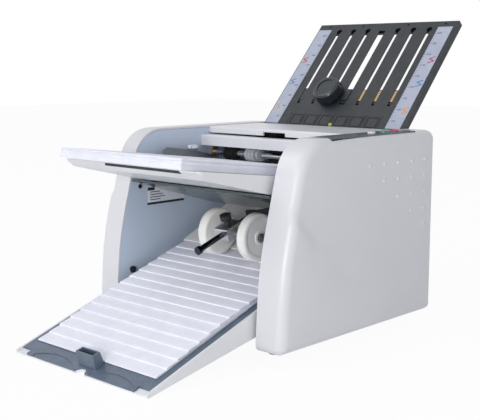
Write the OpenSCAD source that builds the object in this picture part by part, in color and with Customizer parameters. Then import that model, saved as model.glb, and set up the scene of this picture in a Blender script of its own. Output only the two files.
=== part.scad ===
// Desk paper folding machine: two moulded side housings on steel side plates carry
// an infeed table, a buckle folder with four rollers, an upper fold plate with an
// adjustable stop, and a sloping exit tray with two stacking wheels.
// +X is the operator's right, +Y is the back, +Z is up. All sizes are millimetres.

/* [Sheets] */
// Width of a sheet
sheet_w = 210; // [190:1:216]
// Length of a sheet
sheet_l = 297; // [280:1:310]
// Height of the pile on the infeed table
pile_h = 12; // [6:0.5:14]
// Length of a folded sheet
folded_l = 99; // [80:1:120]
// Number of folded sheets lying on the exit tray
folded_count = 15; // [8:1:15]

/* [Housings] */
// Clear width between the two side plates
inner_w = 244; // [240:1:260]
// Width of one side housing
housing_w = 42; // [40:0.5:50]
// Depth of a housing from front to back
housing_d = 302; // [302:1:306]
// Height of a housing's top above the table
housing_top = 254; // [254:0.5:257]
// Height of a housing's underside, which is the height of the feet
foot_h = 16; // [14:0.5:17]
// Wall of the moulded housings
shell_t = 2.5; // [2:0.1:3]
// Radius of the soft edge round a housing's outer face
edge_r = 12; // [8:1:14]
// Rise of the outer face's crown
crown = 2.5; // [1:0.5:3]
// Thickness of the steel side plates
plate_t = 3; // [2:0.2:3.4]

/* [Infeed table] */
// Width of the table
table_w = 230; // [224:1:234]
// Distance that the table reaches out in front of the housings
table_reach = 86; // [70:1:95]
// Slope of the table, falling towards the back
table_slope = 7; // [6:0.2:7.2]
// Height of the top of the pile at its rear edge
pile_top = 204.8; // [204:0.1:206]
// Thickness of the table's plate
table_t = 3; // [2.5:0.1:3.5]

/* [Rollers] */
// Diameter of the fold rollers
roller_d = 30; // [28:0.5:30]
// Gap between two rollers that share a nip
nip_gap = 0.4; // [0.3:0.05:0.6]
// Diameter of the roller journals
journal_d = 10; // [8:0.5:11]
// Number of teeth on each roller gear
gear_teeth = 20; // [18:1:24]
// Width of the roller gears
gear_w = 8; // [6:0.5:8.5]
// Diameter of the feed wheel
feed_d = 19; // [17:0.5:20]
// Diameter of the feed shaft
feed_shaft_d = 8; // [6:0.5:9]

/* [Drive] */
// Diameter of the large belt pulley
pulley_d = 48; // [40:1:50]
// Diameter of the motor's belt pulley
motor_pulley_d = 19; // [16:1:22]
// Diameter of the motor
motor_d = 56; // [48:1:58]
// Length of the motor
motor_l = 62; // [50:1:75]
// Thickness of the belts
belt_t = 2; // [1.5:0.1:2.5]

/* [Fold plate] */
// Slope of the upper fold plate
plate_angle = 47.35; // [46:0.05:48]
// Length of the fold plate that stands above the housings
plate_reach = 195.6; // [180:0.2:210]
// Width of the fold plate
plate_w = 243; // [238:0.5:243]
// Thickness of the fold plate
plate_th = 9.5; // [9:0.1:10.5]
// Width of the narrow slots
slot_w = 4.8; // [3:0.1:5]
// Width of the middle slot, which shows the stop's pointer
middle_slot_w = 10.3; // [7:0.1:11]
// Distance between two slots
slot_pitch = 26.5; // [24:0.25:27]
// Travel of the paper stop
stop_travel = 105; // [80:1:110]
// Diameter of the stop's knob
knob_d = 42; // [34:1:44]

/* [Exit tray] */
// Width of the tray
tray_w = 234; // [226:1:236]
// Distance that the tray reaches out in front of the housings
tray_reach = 160; // [140:1:175]
// Rise of the deck from its front edge to the housings' front
tray_rise = 54.8; // [52:0.1:56.4]
// Height of the deck at its front edge
tray_front_h = 4.1; // [4:0.1:5]

/* [Stacking wheels] */
// Diameter of a stacking wheel
wheel_d = 60; // [52:1:61]
// Width of a stacking wheel
wheel_w = 13.5; // [11:0.5:15]
// Diameter of the rail that the wheels' clamp slides on
rail_d = 7; // [6:0.2:7.6]
// Travel of the clamp along the rail
carriage_travel = 28; // [15:1:30]

/* [Hidden] */

// Running gap between a turning journal and its bush
run_gap = 0.05;
// Gap between neighbouring pieces that only rest against each other
seat_gap = 0.3;

// Overall places, measured from the housings' front foot (y = 0) and the table (z = 0)
inner_x = inner_w / 2;
outer_x = inner_x + housing_w;
plate_x = inner_x + plate_t;
span_x = inner_x - seat_gap;
rear_y = housing_d;
plate_foot_y = rear_y - 17.6;
plate_foot_z = housing_top - 0.4;
plate_tip_y = plate_foot_y + plate_reach * cos(plate_angle) + plate_th * sin(plate_angle);
mid_y = (plate_tip_y - tray_reach) / 2;

// Side outline of a housing: [y, z, corner radius], anticlockwise seen from +X
front_bow_r = 350;
brow_r = 48;
housing_outline = [
    [-2.4, foot_h, 8],
    [rear_y, foot_h, 8],
    [rear_y, housing_top, 12],
    [41.3, housing_top, brow_r],
    [3.6, 112.6, front_bow_r]];

// Unit vector, and a polygon whose corners are rounded by their own radii
function unit(v) = v / norm(v);
function corner(a, b, c) =
    let (u = unit([a[0] - b[0], a[1] - b[1]]), w = unit([c[0] - b[0], c[1] - b[1]]))
    let (half = acos(u * w) / 2, mid = unit(u + w))
    [u, w, half, mid];
function rounded_corner(a, b, c) =
    b[2] <= 0 ? [[b[0], b[1]]] :
    let (k = corner(a, b, c), reach = b[2] / tan(k[2]), p = [b[0], b[1]])
    let (o = p + k[3] * b[2] / sin(k[2]), s = p + k[0] * reach - o, e = p + k[1] * reach - o)
    let (a0 = atan2(s[1], s[0]), raw = atan2(e[1], e[0]) - a0)
    let (turn = raw > 180 ? raw - 360 : raw < -180 ? raw + 360 : raw)
    let (n = max(2, ceil(abs(turn) / 10 - 0.01)))
    [for (i = [0 : n]) o + b[2] * [cos(a0 + turn * i / n), sin(a0 + turn * i / n)]];
function rounded(p) = [for (i = [0 : len(p) - 1])
    each rounded_corner(p[(i + len(p) - 1) % len(p)], p[i], p[(i + 1) % len(p)])];
function inset(p, d) = [for (i = [0 : len(p) - 1])
    let (k = corner(p[(i + len(p) - 1) % len(p)], p[i], p[(i + 1) % len(p)]))
    let (q = [p[i][0], p[i][1]] + k[3] * d / sin(k[2]))
    [q[0], q[1], max(p[i][2] - d, 0.8)]];

// Moves a node from the measuring frame above into the part's own frame
module in_frame() {
    translate([0, -mid_y, 0]) children();
}

// Extrudes a side outline, drawn as (y, z), from x = x0 to x = x1
module slab(x0, x1) {
    translate([x0, 0, 0]) rotate([90, 0, 90]) linear_extrude(x1 - x0) children();
}

// A round bar along X from x0 to x1 at (y, z)
module bar(x0, x1, y, z, r) {
    translate([x0, y, z]) rotate([0, 90, 0]) cylinder(h = x1 - x0, r = r, $fn = 48);
}

// A box given by its lowest and highest corners
module span(a, b) {
    translate(a) cube(b - a);
}

// Draws a piece and its mirror image on the other side of the machine
module both_sides() {
    children();
    mirror([1, 0, 0]) children();
}

// Roller centres (y, z): the second roller drives and the other three lie round it. The
// folder, the fold plate and the top cover keep their distance from the housings' back.
roller_r = roller_d / 2;
centre_gap = roller_d + nip_gap;
drive_y = rear_y - 74.8;
drive_at = [drive_y, 179.7];
angle_1 = 110;
angle_3 = 5;
angle_4 = -70;
function beside_drive(a) = drive_at + centre_gap * [cos(a), sin(a)];
at_1 = beside_drive(angle_1);
at_2 = drive_at;
at_3 = beside_drive(angle_3);
at_4 = beside_drive(angle_4);
roller_at = [at_1, at_2, at_3, at_4];
journal_r = journal_d / 2;
roller_half = inner_x - 4;

// Infeed table and pile: heights of the sloping planes at a given y. The pile's rear edge
// stands in front of the rollers, so a longer sheet reaches further out of the machine.
pile_rear_y = drive_y - 30.4;
pile_front_y = pile_rear_y - sheet_l * cos(table_slope);
pile_lean = tan(table_slope);
function pile_top_z(y) = pile_top - (y - pile_rear_y) * pile_lean;
function pile_foot_z(y) = pile_top_z(y) - pile_h / cos(table_slope);
function table_z(y) = pile_foot_z(y) - seat_gap;

// Feed shaft above the pile
feed_r = feed_d / 2;
feed_y = drive_y - 47.2;
feed_z = pile_top_z(feed_y) + (feed_r + seat_gap) / cos(table_slope);
feed_shaft_r = feed_shaft_d / 2;
feed_at = [feed_y, feed_z];

// Tray and folded sheets: a plane through the deck's front edge
deck_lean = tray_rise / tray_reach;
tray_slope = atan(deck_lean);
function deck_z(y) = tray_front_h + (y + tray_reach) * deck_lean;
deck_end_y = 120;
sheets_rise = 7.4;

// Wheel carriage: the wheels' lowest points clear the folded sheets
wheel_r = wheel_d / 2;
wheel_y = 83;
wheel_z = deck_z(wheel_y) + (wheel_r + sheets_rise + 0.4) / cos(tray_slope);
carriage_x = 12;
wheel_offset = 33.2;
rail_r = rail_d / 2;
axle_r = 3;
rail_above_axle = 10.2;
clamp_reach = 25;
rail_front = clamp_reach + carriage_travel + 11;
rail_back = wheel_r + 8;

// Belt plane outside the right side plate
gear_x0 = plate_x + 2.5;
gear_x1 = gear_x0 + gear_w;
belt_x0 = gear_x1 + 4;
belt_w = 8.6;
pulley_r = pulley_d / 2;
motor_pulley_r = motor_pulley_d / 2;
motor_at = [drive_y - 37.2, 72];
motor_r = motor_d / 2;
feed_belt_r = 10;
feed_belt_x = plate_x + 3;
feed_belt_w = 6;

// Top cover
cover_front_y = drive_y - 58.2;
cover_rear_y = rear_y - 30;
cover_top_z = housing_top - 1;
hinge_at = [rear_y - 34, housing_top - 7];
hinge_pin_r = 3;

// Exit guide plane under the infeed table
guide_front_y = 24;
guide_rear_y = drive_y - 62.2;
guide_slope = 15.9;
guide_t = 3;
function guide_z(y) = 161 - (y - 119) * tan(guide_slope);

// Buttons on the control panel
button_r = 5;
button_x = inner_x + 18;
button_ys = [for (back = [114, 88, 64]) rear_y - back];
button_travel = 1.2;
panel_t = 1.8;
panel_y0 = rear_y - 211;
panel_y1 = rear_y - 40;
panel_sink = 1.5;

echo(mid_y = mid_y, plate_tip_y = plate_tip_y);
echo(at_1 = at_1, at_2 = at_2, at_3 = at_3, at_4 = at_4, feed_at = feed_at);
echo(wheel_z = wheel_z, table_front = table_z(-table_reach), deck0 = deck_z(0));

// ---------- Side housings ----------

// One ring of a housing's skin: its x and how far it lies inside the side outline
function skin_rings(d) =
    let (flank_x = outer_x - crown - d, r = edge_r - d, steps = 5)
    concat(
        [[inner_x, d]],
        [for (i = [0 : steps]) let (t = i * 90 / steps)
            [flank_x - r + r * sin(t), d + r * (1 - cos(t))]],
        [for (k = [[0.5, 30], [0.85, 52], [1, 74]]) [flank_x + crown * k[0], d + k[1]]]);
function ring_points(k) = [for (q = rounded(inset(housing_outline, k[1]))) [k[0], q[0], q[1]]];

// Left moulded shell: outer skin, rim and inner skin lofted through the rings, with no seam
module shell_loft() {
    outer = [for (k = skin_rings(0)) ring_points(k)];
    inner = [for (k = skin_rings(shell_t)) ring_points(k)];
    rings = concat([for (i = [len(outer) - 1 : -1 : 0]) outer[i]], inner);
    n = len(rings[0]);
    last = len(rings) - 1;
    polyhedron(
        points = [for (ring = rings, q = ring) [-q[0], q[1], q[2]]],
        faces = concat(
            [[for (i = [0 : n - 1]) i]],
            [for (k = [0 : last - 1], i = [0 : n - 1]) let (j = (i + 1) % n)
                each [[k * n + i, k * n + n + j, k * n + j], [k * n + i, k * n + n + i, k * n + n + j]]],
            [[for (i = [n - 1 : -1 : 0]) last * n + i]]));
}

// The shell with its lower edge cut flat above the table
foot_trim = 0.6;
module housing_shell() {
    difference() {
        shell_loft();
        span([-outer_x - 1, -4, 0], [-inner_x + 1, rear_y + 1, foot_h + foot_trim]);
    }
}

module left_housing() {
    color("whitesmoke") in_frame() housing_shell();
}

module right_housing() {
    color("whitesmoke") in_frame() difference() {
        mirror([1, 0, 0]) housing_shell();
        span([inner_x + 2 - seat_gap, panel_y0 - seat_gap, housing_top - panel_sink],
            [inner_x + 33 + seat_gap, panel_y1 + seat_gap, housing_top + 3]);
        for (y = button_ys)
            translate([button_x, y, housing_top - 8])
                cylinder(h = 10, r = button_r + 0.3, $fn = 48);
    }
}

// ---------- Frame ----------

bush_r = journal_r + 1;
bush_flange_r = bush_r + 1.6;
bush_flange_t = 1.4;

// Posts riveted to the side plate, to which the housing is screwed
post_r = 4;
post_places = [[34, 60], [70, 228], [rear_y - 20, 222], [rear_y - 18, 40], [60, 34]];

module plate_blank() {
    slab(inner_x, plate_x) polygon(rounded(inset(housing_outline, shell_t + seat_gap)));
    for (p = post_places)
        bar(inner_x + 1, outer_x - crown - shell_t - seat_gap, p[0], p[1], post_r);
}

module side_plate_holes() {
    for (p = concat(roller_at, [feed_at]))
        bar(inner_x - 1, plate_x + 1, p[0], p[1], bush_r + 0.03);
}

module left_side_plate() {
    color("lightsteelblue") in_frame() mirror([1, 0, 0]) difference() {
        plate_blank();
        side_plate_holes();
    }
}

module right_side_plate() {
    color("lightsteelblue") in_frame() difference() {
        plate_blank();
        side_plate_holes();
        bar(inner_x - 1, plate_x + 1, motor_at[0], motor_at[1], 8);
    }
}

// Folded pan that ties the side plates together at the bottom
base_z = foot_h + 3;
base_rim = 11;
base_front = 38;
pan_t = 1.6;
module base_plate() {
    color("lightsteelblue") in_frame() difference() {
        span([-span_x, base_front, base_z], [span_x, rear_y - 6, base_z + base_rim]);
        span([-span_x + pan_t, base_front + pan_t, base_z + pan_t],
            [span_x - pan_t, rear_y - 6 - pan_t, base_z + base_rim + 1]);
    }
}

// Foot pads under the base plate, inboard of the housings
foot_places = [[inner_x - 15, base_front + 12], [inner_x - 15, rear_y - 24]];
module rubber_feet() {
    foot_r = 10;
    color("dimgray") in_frame() both_sides() for (p = foot_places)
        translate([p[0], p[1], 0]) rotate_extrude($fn = 48) polygon([
            [0, 0], [foot_r - 1.5, 0], [foot_r - 0.5, 1], [foot_r, base_z], [0, base_z]]);
}

// Back cover with vent slots and the inlet's opening
inlet_at = [-78, 60];
module rear_cover() {
    cover_t = 2.5;
    color("whitesmoke") in_frame() difference() {
        union() {
            span([-span_x, rear_y - cover_t, base_z], [span_x, rear_y, housing_top - 3]);
            span([-span_x, rear_y - 4.6, base_z + 12], [-span_x + 6, rear_y - 1, housing_top - 14]);
            span([span_x - 6, rear_y - 4.6, base_z + 12], [span_x, rear_y - 1, housing_top - 14]);
        }
        for (i = [0 : 8])
            span([-88 + i * 22, rear_y - 4, 186], [-82 + i * 22, rear_y + 1, 226]);
        span([inlet_at[0] - 24.3, rear_y - 4, inlet_at[1] - 12.3],
            [inlet_at[0] + 24.3, rear_y + 1, inlet_at[1] + 12.3]);
    }
}

// Round cross rods: two chrome ones behind the exit guide, one low in front, one at the back
rod_r = 4;
module tie_rods() {
    color("silver") in_frame() {
        for (y = [deck_end_y - 14, deck_end_y + 4])
            bar(-span_x, span_x, y, guide_z(y) + guide_t + rod_r + 1.4, rod_r);
        bar(-span_x, span_x, 84, base_z + base_rim + rod_r + 0.5, rod_r);
        bar(-span_x, span_x, rear_y - 12, 210, rod_r);
    }
}

cross_y1 = cover_front_y - 0.5;
cross_y0 = cross_y1 - 16;
cross_z0 = 227.5;
cross_z1 = 242;
module front_cross_cover() {
    t = 2.5;
    color("whitesmoke") in_frame() slab(-span_x, span_x) difference() {
        polygon(rounded([[cross_y0, cross_z0, 0], [cross_y1, cross_z0, 0],
            [cross_y1, cross_z1, 0.8], [cross_y0, cross_z1, 2]]));
        polygon([[cross_y0 + t, cross_z0 - 1], [cross_y1 + 1, cross_z0 - 1],
            [cross_y1 + 1, cross_z1 - t], [cross_y0 + t, cross_z1 - t]]);
    }
}

module ribbed_guide() {
    y0 = cover_front_y + 22.5;
    rib = 1.6;
    color("dimgray") in_frame() {
        slab(-30, span_x) polygon(concat(
            [[y0 + 2.5, cross_z1 - 2.8], [cross_y0 + 3, cross_z1 - 2.8],
                [cross_y0 + 3, cross_z1 - 4.8], [y0, cross_z1 - 4.8]],
            [for (i = [0 : 6]) each [
                [y0, 235 - i * 4], [y0 - rib, 234.2 - i * 4],
                [y0 - rib, 232.8 - i * 4], [y0, 232 - i * 4]]],
            [[y0, 207], [y0 + 2.5, 207]]));
    }
}

// Tinted guide plate over the exit, with ears that reach the side plates
module exit_guide() {
    color("darkslategray") in_frame() {
        slab(-inner_x + 3, inner_x - 3) polygon([
            [guide_front_y, guide_z(guide_front_y)], [guide_rear_y, guide_z(guide_rear_y)],
            [guide_rear_y, guide_z(guide_rear_y) + guide_t],
            [guide_front_y, guide_z(guide_front_y) + guide_t]]);
        both_sides() slab(inner_x - 3, span_x) polygon([
            [60, guide_z(60)], [90, guide_z(90)],
            [90, guide_z(90) + 9], [60, guide_z(60) + 9]]);
    }
}

module exit_chute() {
    chute_t = 2;
    y0 = deck_end_y + 1;
    z0 = deck_z(y0) - 1;
    y1 = drive_y - 15.2;
    z1 = 138;
    color("lightsteelblue") in_frame() slab(-span_x, span_x) polygon([
        [y0, z0 - chute_t], [y1, z1 - chute_t], [y1 + 1, z1 - 14], [y1 + 3, z1 - 14],
        [y1 + 2, z1], [y0, z0]]);
}

// Four pan-head screws on each side plate's inner face
screw_places = [[40.6, 179.7], [23.6, 72.3], [140, 90], [rear_y - 40, 205]];
module frame_screws() {
    head_r = 3;
    color("dimgray") in_frame() both_sides() for (p = screw_places)
        translate([inner_x, p[0], p[1]]) rotate([0, -90, 0]) rotate_extrude($fn = 32)
            polygon([[0, 0], [head_r, 0], [head_r, 0.8], [head_r - 1, 1.6], [0, 1.8]]);
}

// Flanged bushes in the side plates' holes
module bush(p, bore_r) {
    difference() {
        union() {
            bar(inner_x, plate_x + 0.8, p[0], p[1], bush_r);
            bar(inner_x - bush_flange_t, inner_x, p[0], p[1], bush_flange_r);
        }
        bar(inner_x - 5, plate_x + 5, p[0], p[1], bore_r);
    }
}

module bearing_bushes() {
    color("peru") in_frame() both_sides() {
        for (p = roller_at)
            bush(p, journal_r + run_gap);
        bush(feed_at, feed_shaft_r + run_gap);
    }
}

// ---------- Infeed ----------

module infeed_table() {
    half = table_w / 2;
    rear = pile_rear_y - 2;
    deep_y = 29;
    lip = 12;
    deep = 21.5;
    front = -table_reach;
    nose = 10;
    ear_y0 = 90;
    ear_y1 = 140;
    color("whitesmoke") in_frame() difference() {
        union() {
            slab(-half, half) polygon(rounded([
                [front, table_z(front), 1.2], [front + 16, table_z(front) - lip, 9],
                [deep_y, table_z(deep_y) - deep, 2], [150, table_z(150) - 9, 2],
                [rear, table_z(rear) - table_t, 0], [rear, table_z(rear), 0]]));
            both_sides() slab(half - 1, span_x) polygon([
                [ear_y0, table_z(ear_y0) - 8], [ear_y1, table_z(ear_y1) - 8],
                [ear_y1, table_z(ear_y1)], [ear_y0, table_z(ear_y0)]]);
        }
        both_sides() translate([half - nose, front, table_z(front) - 2 * lip]) difference() {
            translate([0, -1, 0]) cube([nose + 1, nose + 1, 3 * lip]);
            translate([0, nose, -1]) cylinder(h = 3 * lip + 2, r = nose, $fn = 48);
        }
        // Hollow underside, open towards the machine
        slab(-half + 4, half - 4) polygon([
            [front + 26, table_z(front + 26) - table_t], [rear + 1, table_z(rear + 1) - table_t],
            [rear + 1, table_z(rear) - 40], [deep_y + 16, table_z(deep_y + 16) - 60],
            [deep_y + 4, table_z(deep_y) - deep + 3], [front + 26, table_z(front + 26) - 11]]);
        // Shallow recess in the front lip, where a thumb lifts the pile
        slab(-40, 85) polygon([
            [front - 1, table_z(front) - 1.2], [front + 9, table_z(front + 9) - 1.2],
            [front + 9, table_z(front + 9) - 4.4], [front - 1, table_z(front) - 4.4]]);
        // Slots in which the side guides' studs run
        both_sides() for (y = [guide_y0 + 14, guide_y1 - 14])
            span([sheet_w / 2 - 4, y - 2.6, table_z(y) - 6], [half + 12, y + 2.6, table_z(y) + 6]);
    }
}

// The pile lies on the table in three blocks that aren't quite square to each other
module infeed_paper() {
    layers = [[0, 0.42, 0, 0], [0.42, 0.72, -0.6, 0.9], [0.72, 1, 0.5, -0.5]];
    color("white") in_frame() translate([0, pile_front_y, pile_top_z(pile_front_y)])
        rotate([-table_slope, 0, 0]) for (k = layers)
            translate([-sheet_w / 2 + k[2], max(k[3], 0), -pile_h * (1 - k[0])])
                cube([sheet_w, sheet_l - 1, pile_h * (k[1] - k[0])]);
}

// Side guides stand just outside the pile, each on a flange with two studs
guide_y0 = 69;
guide_y1 = 158;
guide_travel = 5;
module side_guide() {
    wall_x = sheet_w / 2 + 1;
    wall_t = 1.6;
    wall_h = 9;
    flange_end = span_x - guide_travel - 0.4;
    color("slategray") {
        slab(wall_x, wall_x + wall_t) polygon([
            [guide_y0, table_z(guide_y0) + seat_gap], [guide_y1, table_z(guide_y1) + seat_gap],
            [guide_y1 + 3, pile_top_z(guide_y1 + 3) + wall_h - 4],
            [guide_y1 - 34, pile_top_z(guide_y1 - 34) + wall_h],
            [guide_y0 + 6, pile_top_z(guide_y0 + 6) + wall_h + 1],
            [guide_y0, pile_top_z(guide_y0) + wall_h - 3]]);
        slab(wall_x + wall_t, flange_end) polygon([
            [guide_y0, table_z(guide_y0) + seat_gap], [guide_y1, table_z(guide_y1) + seat_gap],
            [guide_y1, table_z(guide_y1) + 2.3], [guide_y0, table_z(guide_y0) + 2.3]]);
        for (y = [guide_y0 + 14, guide_y1 - 14])
            translate([sheet_w / 2 + 4.6, y, table_z(y) - 4.5])
                cylinder(h = 5.5, r = 2.2, $fn = 32);
        // Lock lever on top of the wall
        translate([wall_x - 3, guide_y0 + 47, pile_top_z(guide_y0 + 47) + wall_h - 1.5])
            cube([7, 12, 6.5]);
    }
}

module left_guide() {
    in_frame() mirror([1, 0, 0]) side_guide();
}

module right_guide() {
    in_frame() side_guide();
}

module separator_pad() {
    y0 = pile_rear_y + seat_gap;
    z1 = table_z(y0) + 9;
    color("saddlebrown") in_frame() slab(-62, -34) polygon([
        [y0, z1], [y0 + 2.2, z1], [y0 + 2.2, z1 - 20], [y0 - 16, z1 - 18],
        [y0 - 16, table_z(y0 - 16) - table_t - seat_gap],
        [y0, table_z(y0) - table_t - seat_gap]]);
}

module feed_shaft() {
    x0 = -feed_belt_x - feed_belt_w - 1.5;
    color("silver") in_frame() difference() {
        union() {
            bar(x0, plate_x + 2, feed_y, feed_z, feed_shaft_r);
            bar(x0, x0 + 1.5, feed_y, feed_z, feed_belt_r + 2);
            bar(x0 + 1, -feed_belt_x, feed_y, feed_z, feed_belt_r);
            bar(-feed_belt_x, -feed_belt_x + 1.5, feed_y, feed_z, feed_belt_r + 2);
        }
        bar(x0 - 1, x0 + 4, feed_y, feed_z, 1.6);
    }
}

feed_wheel_x = -48.5;
module feed_wheel() {
    disc_x = -35;
    color("gainsboro") in_frame() difference() {
        union() {
            for (i = [-1 : 1])
                bar(feed_wheel_x + i * 5.6 - 2.5, feed_wheel_x + i * 5.6 + 2.5,
                    feed_y, feed_z, feed_r);
            bar(feed_wheel_x - 8, feed_wheel_x + 8, feed_y, feed_z, feed_r - 0.8);
            bar(feed_wheel_x, disc_x, feed_y, feed_z, feed_shaft_r + 1.6);
            bar(disc_x - 1, disc_x + 1, feed_y, feed_z, feed_r - 1);
        }
        bar(feed_wheel_x - 20, disc_x + 20, feed_y, feed_z, feed_shaft_r);
    }
}

module feed_tyre() {
    x0 = -97;
    color("dimgray") in_frame() difference() {
        union() {
            bar(x0, x0 + 17, feed_y, feed_z, feed_r - 1.2);
            for (i = [0 : 3])
                bar(x0 + i * 4.6, x0 + i * 4.6 + 3.2, feed_y, feed_z, feed_r);
        }
        bar(x0 - 1, x0 + 20, feed_y, feed_z, feed_shaft_r);
    }
}

// ---------- Fold rollers and their drive ----------

// A steel roller with shallow grip grooves, its journals reaching x0 and x1
module fold_roller(p, x0, x1) {
    grooves = 9;
    step = 2 * roller_half / grooves;
    groove_w = 2;
    color("slategray") in_frame() {
        bar(x0, x1, p[0], p[1], journal_r);
        bar(-roller_half, roller_half, p[0], p[1], roller_r - 0.7);
        for (i = [0 : grooves - 1])
            bar(-roller_half + i * step + groove_w / 2, -roller_half + (i + 1) * step - groove_w / 2,
                p[0], p[1], roller_r);
    }
}

module fold_roller_1() {
    x0 = -feed_belt_x - feed_belt_w - 1.5;
    fold_roller(at_1, x0, gear_x1 + 1);
    color("slategray") in_frame() {
        bar(x0, x0 + 1.5, at_1[0], at_1[1], feed_belt_r + 2);
        bar(x0 + 1, -feed_belt_x, at_1[0], at_1[1], feed_belt_r);
    }
}

module fold_roller_2() {
    fold_roller(at_2, -plate_x - 3, belt_x0 + belt_w + 4);
}

module fold_roller_3() {
    fold_roller(at_3, -plate_x - 3, gear_x1 + 1);
}

module fold_roller_4() {
    fold_roller(at_4, -plate_x - 3, gear_x1 + 1);
}

// Involute gear outline with the given number of teeth at a centre distance of centre_gap
gear_r = centre_gap / 2;
gear_module = centre_gap / gear_teeth;
pressure = 20;
backlash = 0.45;
base_r = gear_r * cos(pressure);
function inv(a) = tan(a) * 180 / PI - a;
function half_tooth(r) = 90 / gear_teeth - backlash + inv(pressure) - inv(acos(min(1, base_r / r)));
function tooth_side(n) = [for (i = [0 : n])
    let (r = base_r + 0.05 + (gear_r + gear_module * 0.95 - base_r - 0.05) * i / n)
    [r, half_tooth(r)]];
function polar(r, a) = r * [cos(a), sin(a)];
function gear_outline() = let (side = tooth_side(3), root_r = gear_r - 1.2 * gear_module)
    [for (t = [0 : gear_teeth - 1]) let (c = t * 360 / gear_teeth) each concat(
        [polar(root_r, c - side[0][1] - 1)],
        [for (p = side) polar(p[0], c - p[1])],
        [for (i = [len(side) - 1 : -1 : 0]) polar(side[i][0], c + side[i][1])],
        [polar(root_r, c + side[0][1] + 1)])];

// A gear on a roller's journal, turned so that its teeth mesh with the drive gear's
module roller_gear(p, phase) {
    in_frame() difference() {
        translate([gear_x0, p[0], p[1]]) rotate([90, 0, 90]) rotate([0, 0, phase])
            linear_extrude(gear_w) polygon(gear_outline());
        bar(gear_x0 - 1, gear_x1 + 1, p[0], p[1], journal_r);
    }
}

// Turn of a follower gear's tooth that meshes with a drive gear whose tooth lies at 0
function mesh_phase(a) = 2 * a + 180 - 180 / gear_teeth;

module roller_gears_1() {
    color("ivory") roller_gear(at_1, mesh_phase(angle_1));
}

module roller_gears_3() {
    color("ivory") roller_gear(at_3, mesh_phase(angle_3));
}

module roller_gears_4() {
    color("ivory") roller_gear(at_4, mesh_phase(angle_4));
}

// The drive gear is moulded in one with the large belt pulley
module drive_gear() {
    color("ivory") {
        roller_gear(at_2, 0);
        in_frame() difference() {
            union() {
                bar(gear_x1, belt_x0 - 1.5, at_2[0], at_2[1], journal_r + 4);
                bar(belt_x0 - 1.5, belt_x0, at_2[0], at_2[1], pulley_r + 2.5);
                bar(belt_x0, belt_x0 + belt_w + 0.6, at_2[0], at_2[1], pulley_r);
            }
            bar(gear_x1 - 1, belt_x0 + belt_w + 5, at_2[0], at_2[1], journal_r);
            for (i = [0 : 5])
                bar(belt_x0 - 3, belt_x0 + belt_w + 5,
                    at_2[0] + 15 * cos(i * 60), at_2[1] + 15 * sin(i * 60), 4);
        }
    }
}

// Outline of a belt's loop round two pulleys, drawn r_gap outside them
function arc_points(c, r, a0, a1, n) = [for (i = [0 : n]) c + polar(r, a0 + (a1 - a0) * i / n)];
function belt_loop(p, rp, q, rq, r_gap) =
    let (line = atan2(q[1] - p[1], q[0] - p[0]), lean = acos((rp - rq) / norm(q - p)))
    concat(arc_points(p, rp + r_gap, line + lean, line + 360 - lean, 24),
        arc_points(q, rq + r_gap, line - lean, line + lean, 20));

module belt(p, rp, q, rq, x0, w) {
    slack = 0.25;
    color("dimgray") in_frame() difference() {
        slab(x0, x0 + w) polygon(belt_loop(p, rp, q, rq, slack + belt_t));
        slab(x0 - 1, x0 + w + 1) polygon(belt_loop(p, rp, q, rq, slack));
    }
}

module drive_belt() {
    belt(at_2, pulley_r, motor_at, motor_pulley_r, belt_x0 + 0.3, belt_w - 0.6);
}

module feed_belt() {
    belt(feed_at, feed_belt_r, at_1, feed_belt_r,
        -feed_belt_x - feed_belt_w + 0.3, feed_belt_w - 0.6);
}

module motor() {
    boss_l = 2.2;
    color("silver") in_frame() difference() {
        union() {
            bar(span_x - 3 - motor_l, span_x - 3, motor_at[0], motor_at[1], motor_r);
            bar(span_x - 3 - motor_l - boss_l, span_x - 3, motor_at[0], motor_at[1], 9);
            span([span_x - 3, motor_at[0] - 31, motor_at[1] - 24],
                [span_x, motor_at[0] + 31, motor_at[1] + 24]);
        }
        bar(span_x - 26, span_x + 1, motor_at[0], motor_at[1], 3 + run_gap);
        for (i = [0 : 11])
            translate([0, motor_at[0], motor_at[1]]) rotate([i * 30, 0, 0])
                span([span_x - motor_l + 8, motor_r - 1.5, -2], [span_x - 20, motor_r + 1, 2]);
    }
}

module motor_pulley() {
    color("silver") in_frame() {
        bar(span_x - 24, belt_x0 + belt_w + 4, motor_at[0], motor_at[1], 3);
        bar(belt_x0, belt_x0 + belt_w, motor_at[0], motor_at[1], motor_pulley_r);
        for (x = [belt_x0 - 1.5, belt_x0 + belt_w])
            bar(x, x + 1.5, motor_at[0], motor_at[1], motor_pulley_r + 3);
    }
}

// ---------- Electrics ----------

module circuit_board() {
    board_x = -plate_x - 6;
    color("darkgreen") in_frame() {
        difference() {
            union() {
                span([board_x - 1.6, 70, 64], [board_x, 190, 150]);
                for (p = [[78, 72], [182, 72], [78, 142], [182, 142]])
                    bar(board_x, -plate_x - seat_gap, p[0], p[1], 3);
            }
            for (p = [[78, 72], [182, 72], [78, 142], [182, 142]])
                bar(board_x - 3, -plate_x - 1, p[0], p[1], 1.5);
        }
        span([board_x - 17.6, 96, 84], [board_x - 1.6, 122, 112]);
        span([board_x - 8, 136, 120], [board_x - 1.6, 170, 130]);
        bar(board_x - 19, board_x - 1.6, 148, 96, 8);
    }
}

module button_board() {
    z0 = housing_top - 13;
    color("darkgreen") in_frame() {
        span([button_x - 9, 176, z0], [button_x + 9, 250, z0 + 1.6]);
        for (y = button_ys)
            span([button_x - 3, y - 3, z0 + 1.6], [button_x + 3, y + 3, z0 + 5]);
        for (p = [[-6, 180], [6, 180], [-6, 246], [6, 246]])
            translate([button_x + p[0], p[1], z0 + 1.6])
                cylinder(h = 11.4 - shell_t - 0.3, r = 2.2, $fn = 32);
    }
}

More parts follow.
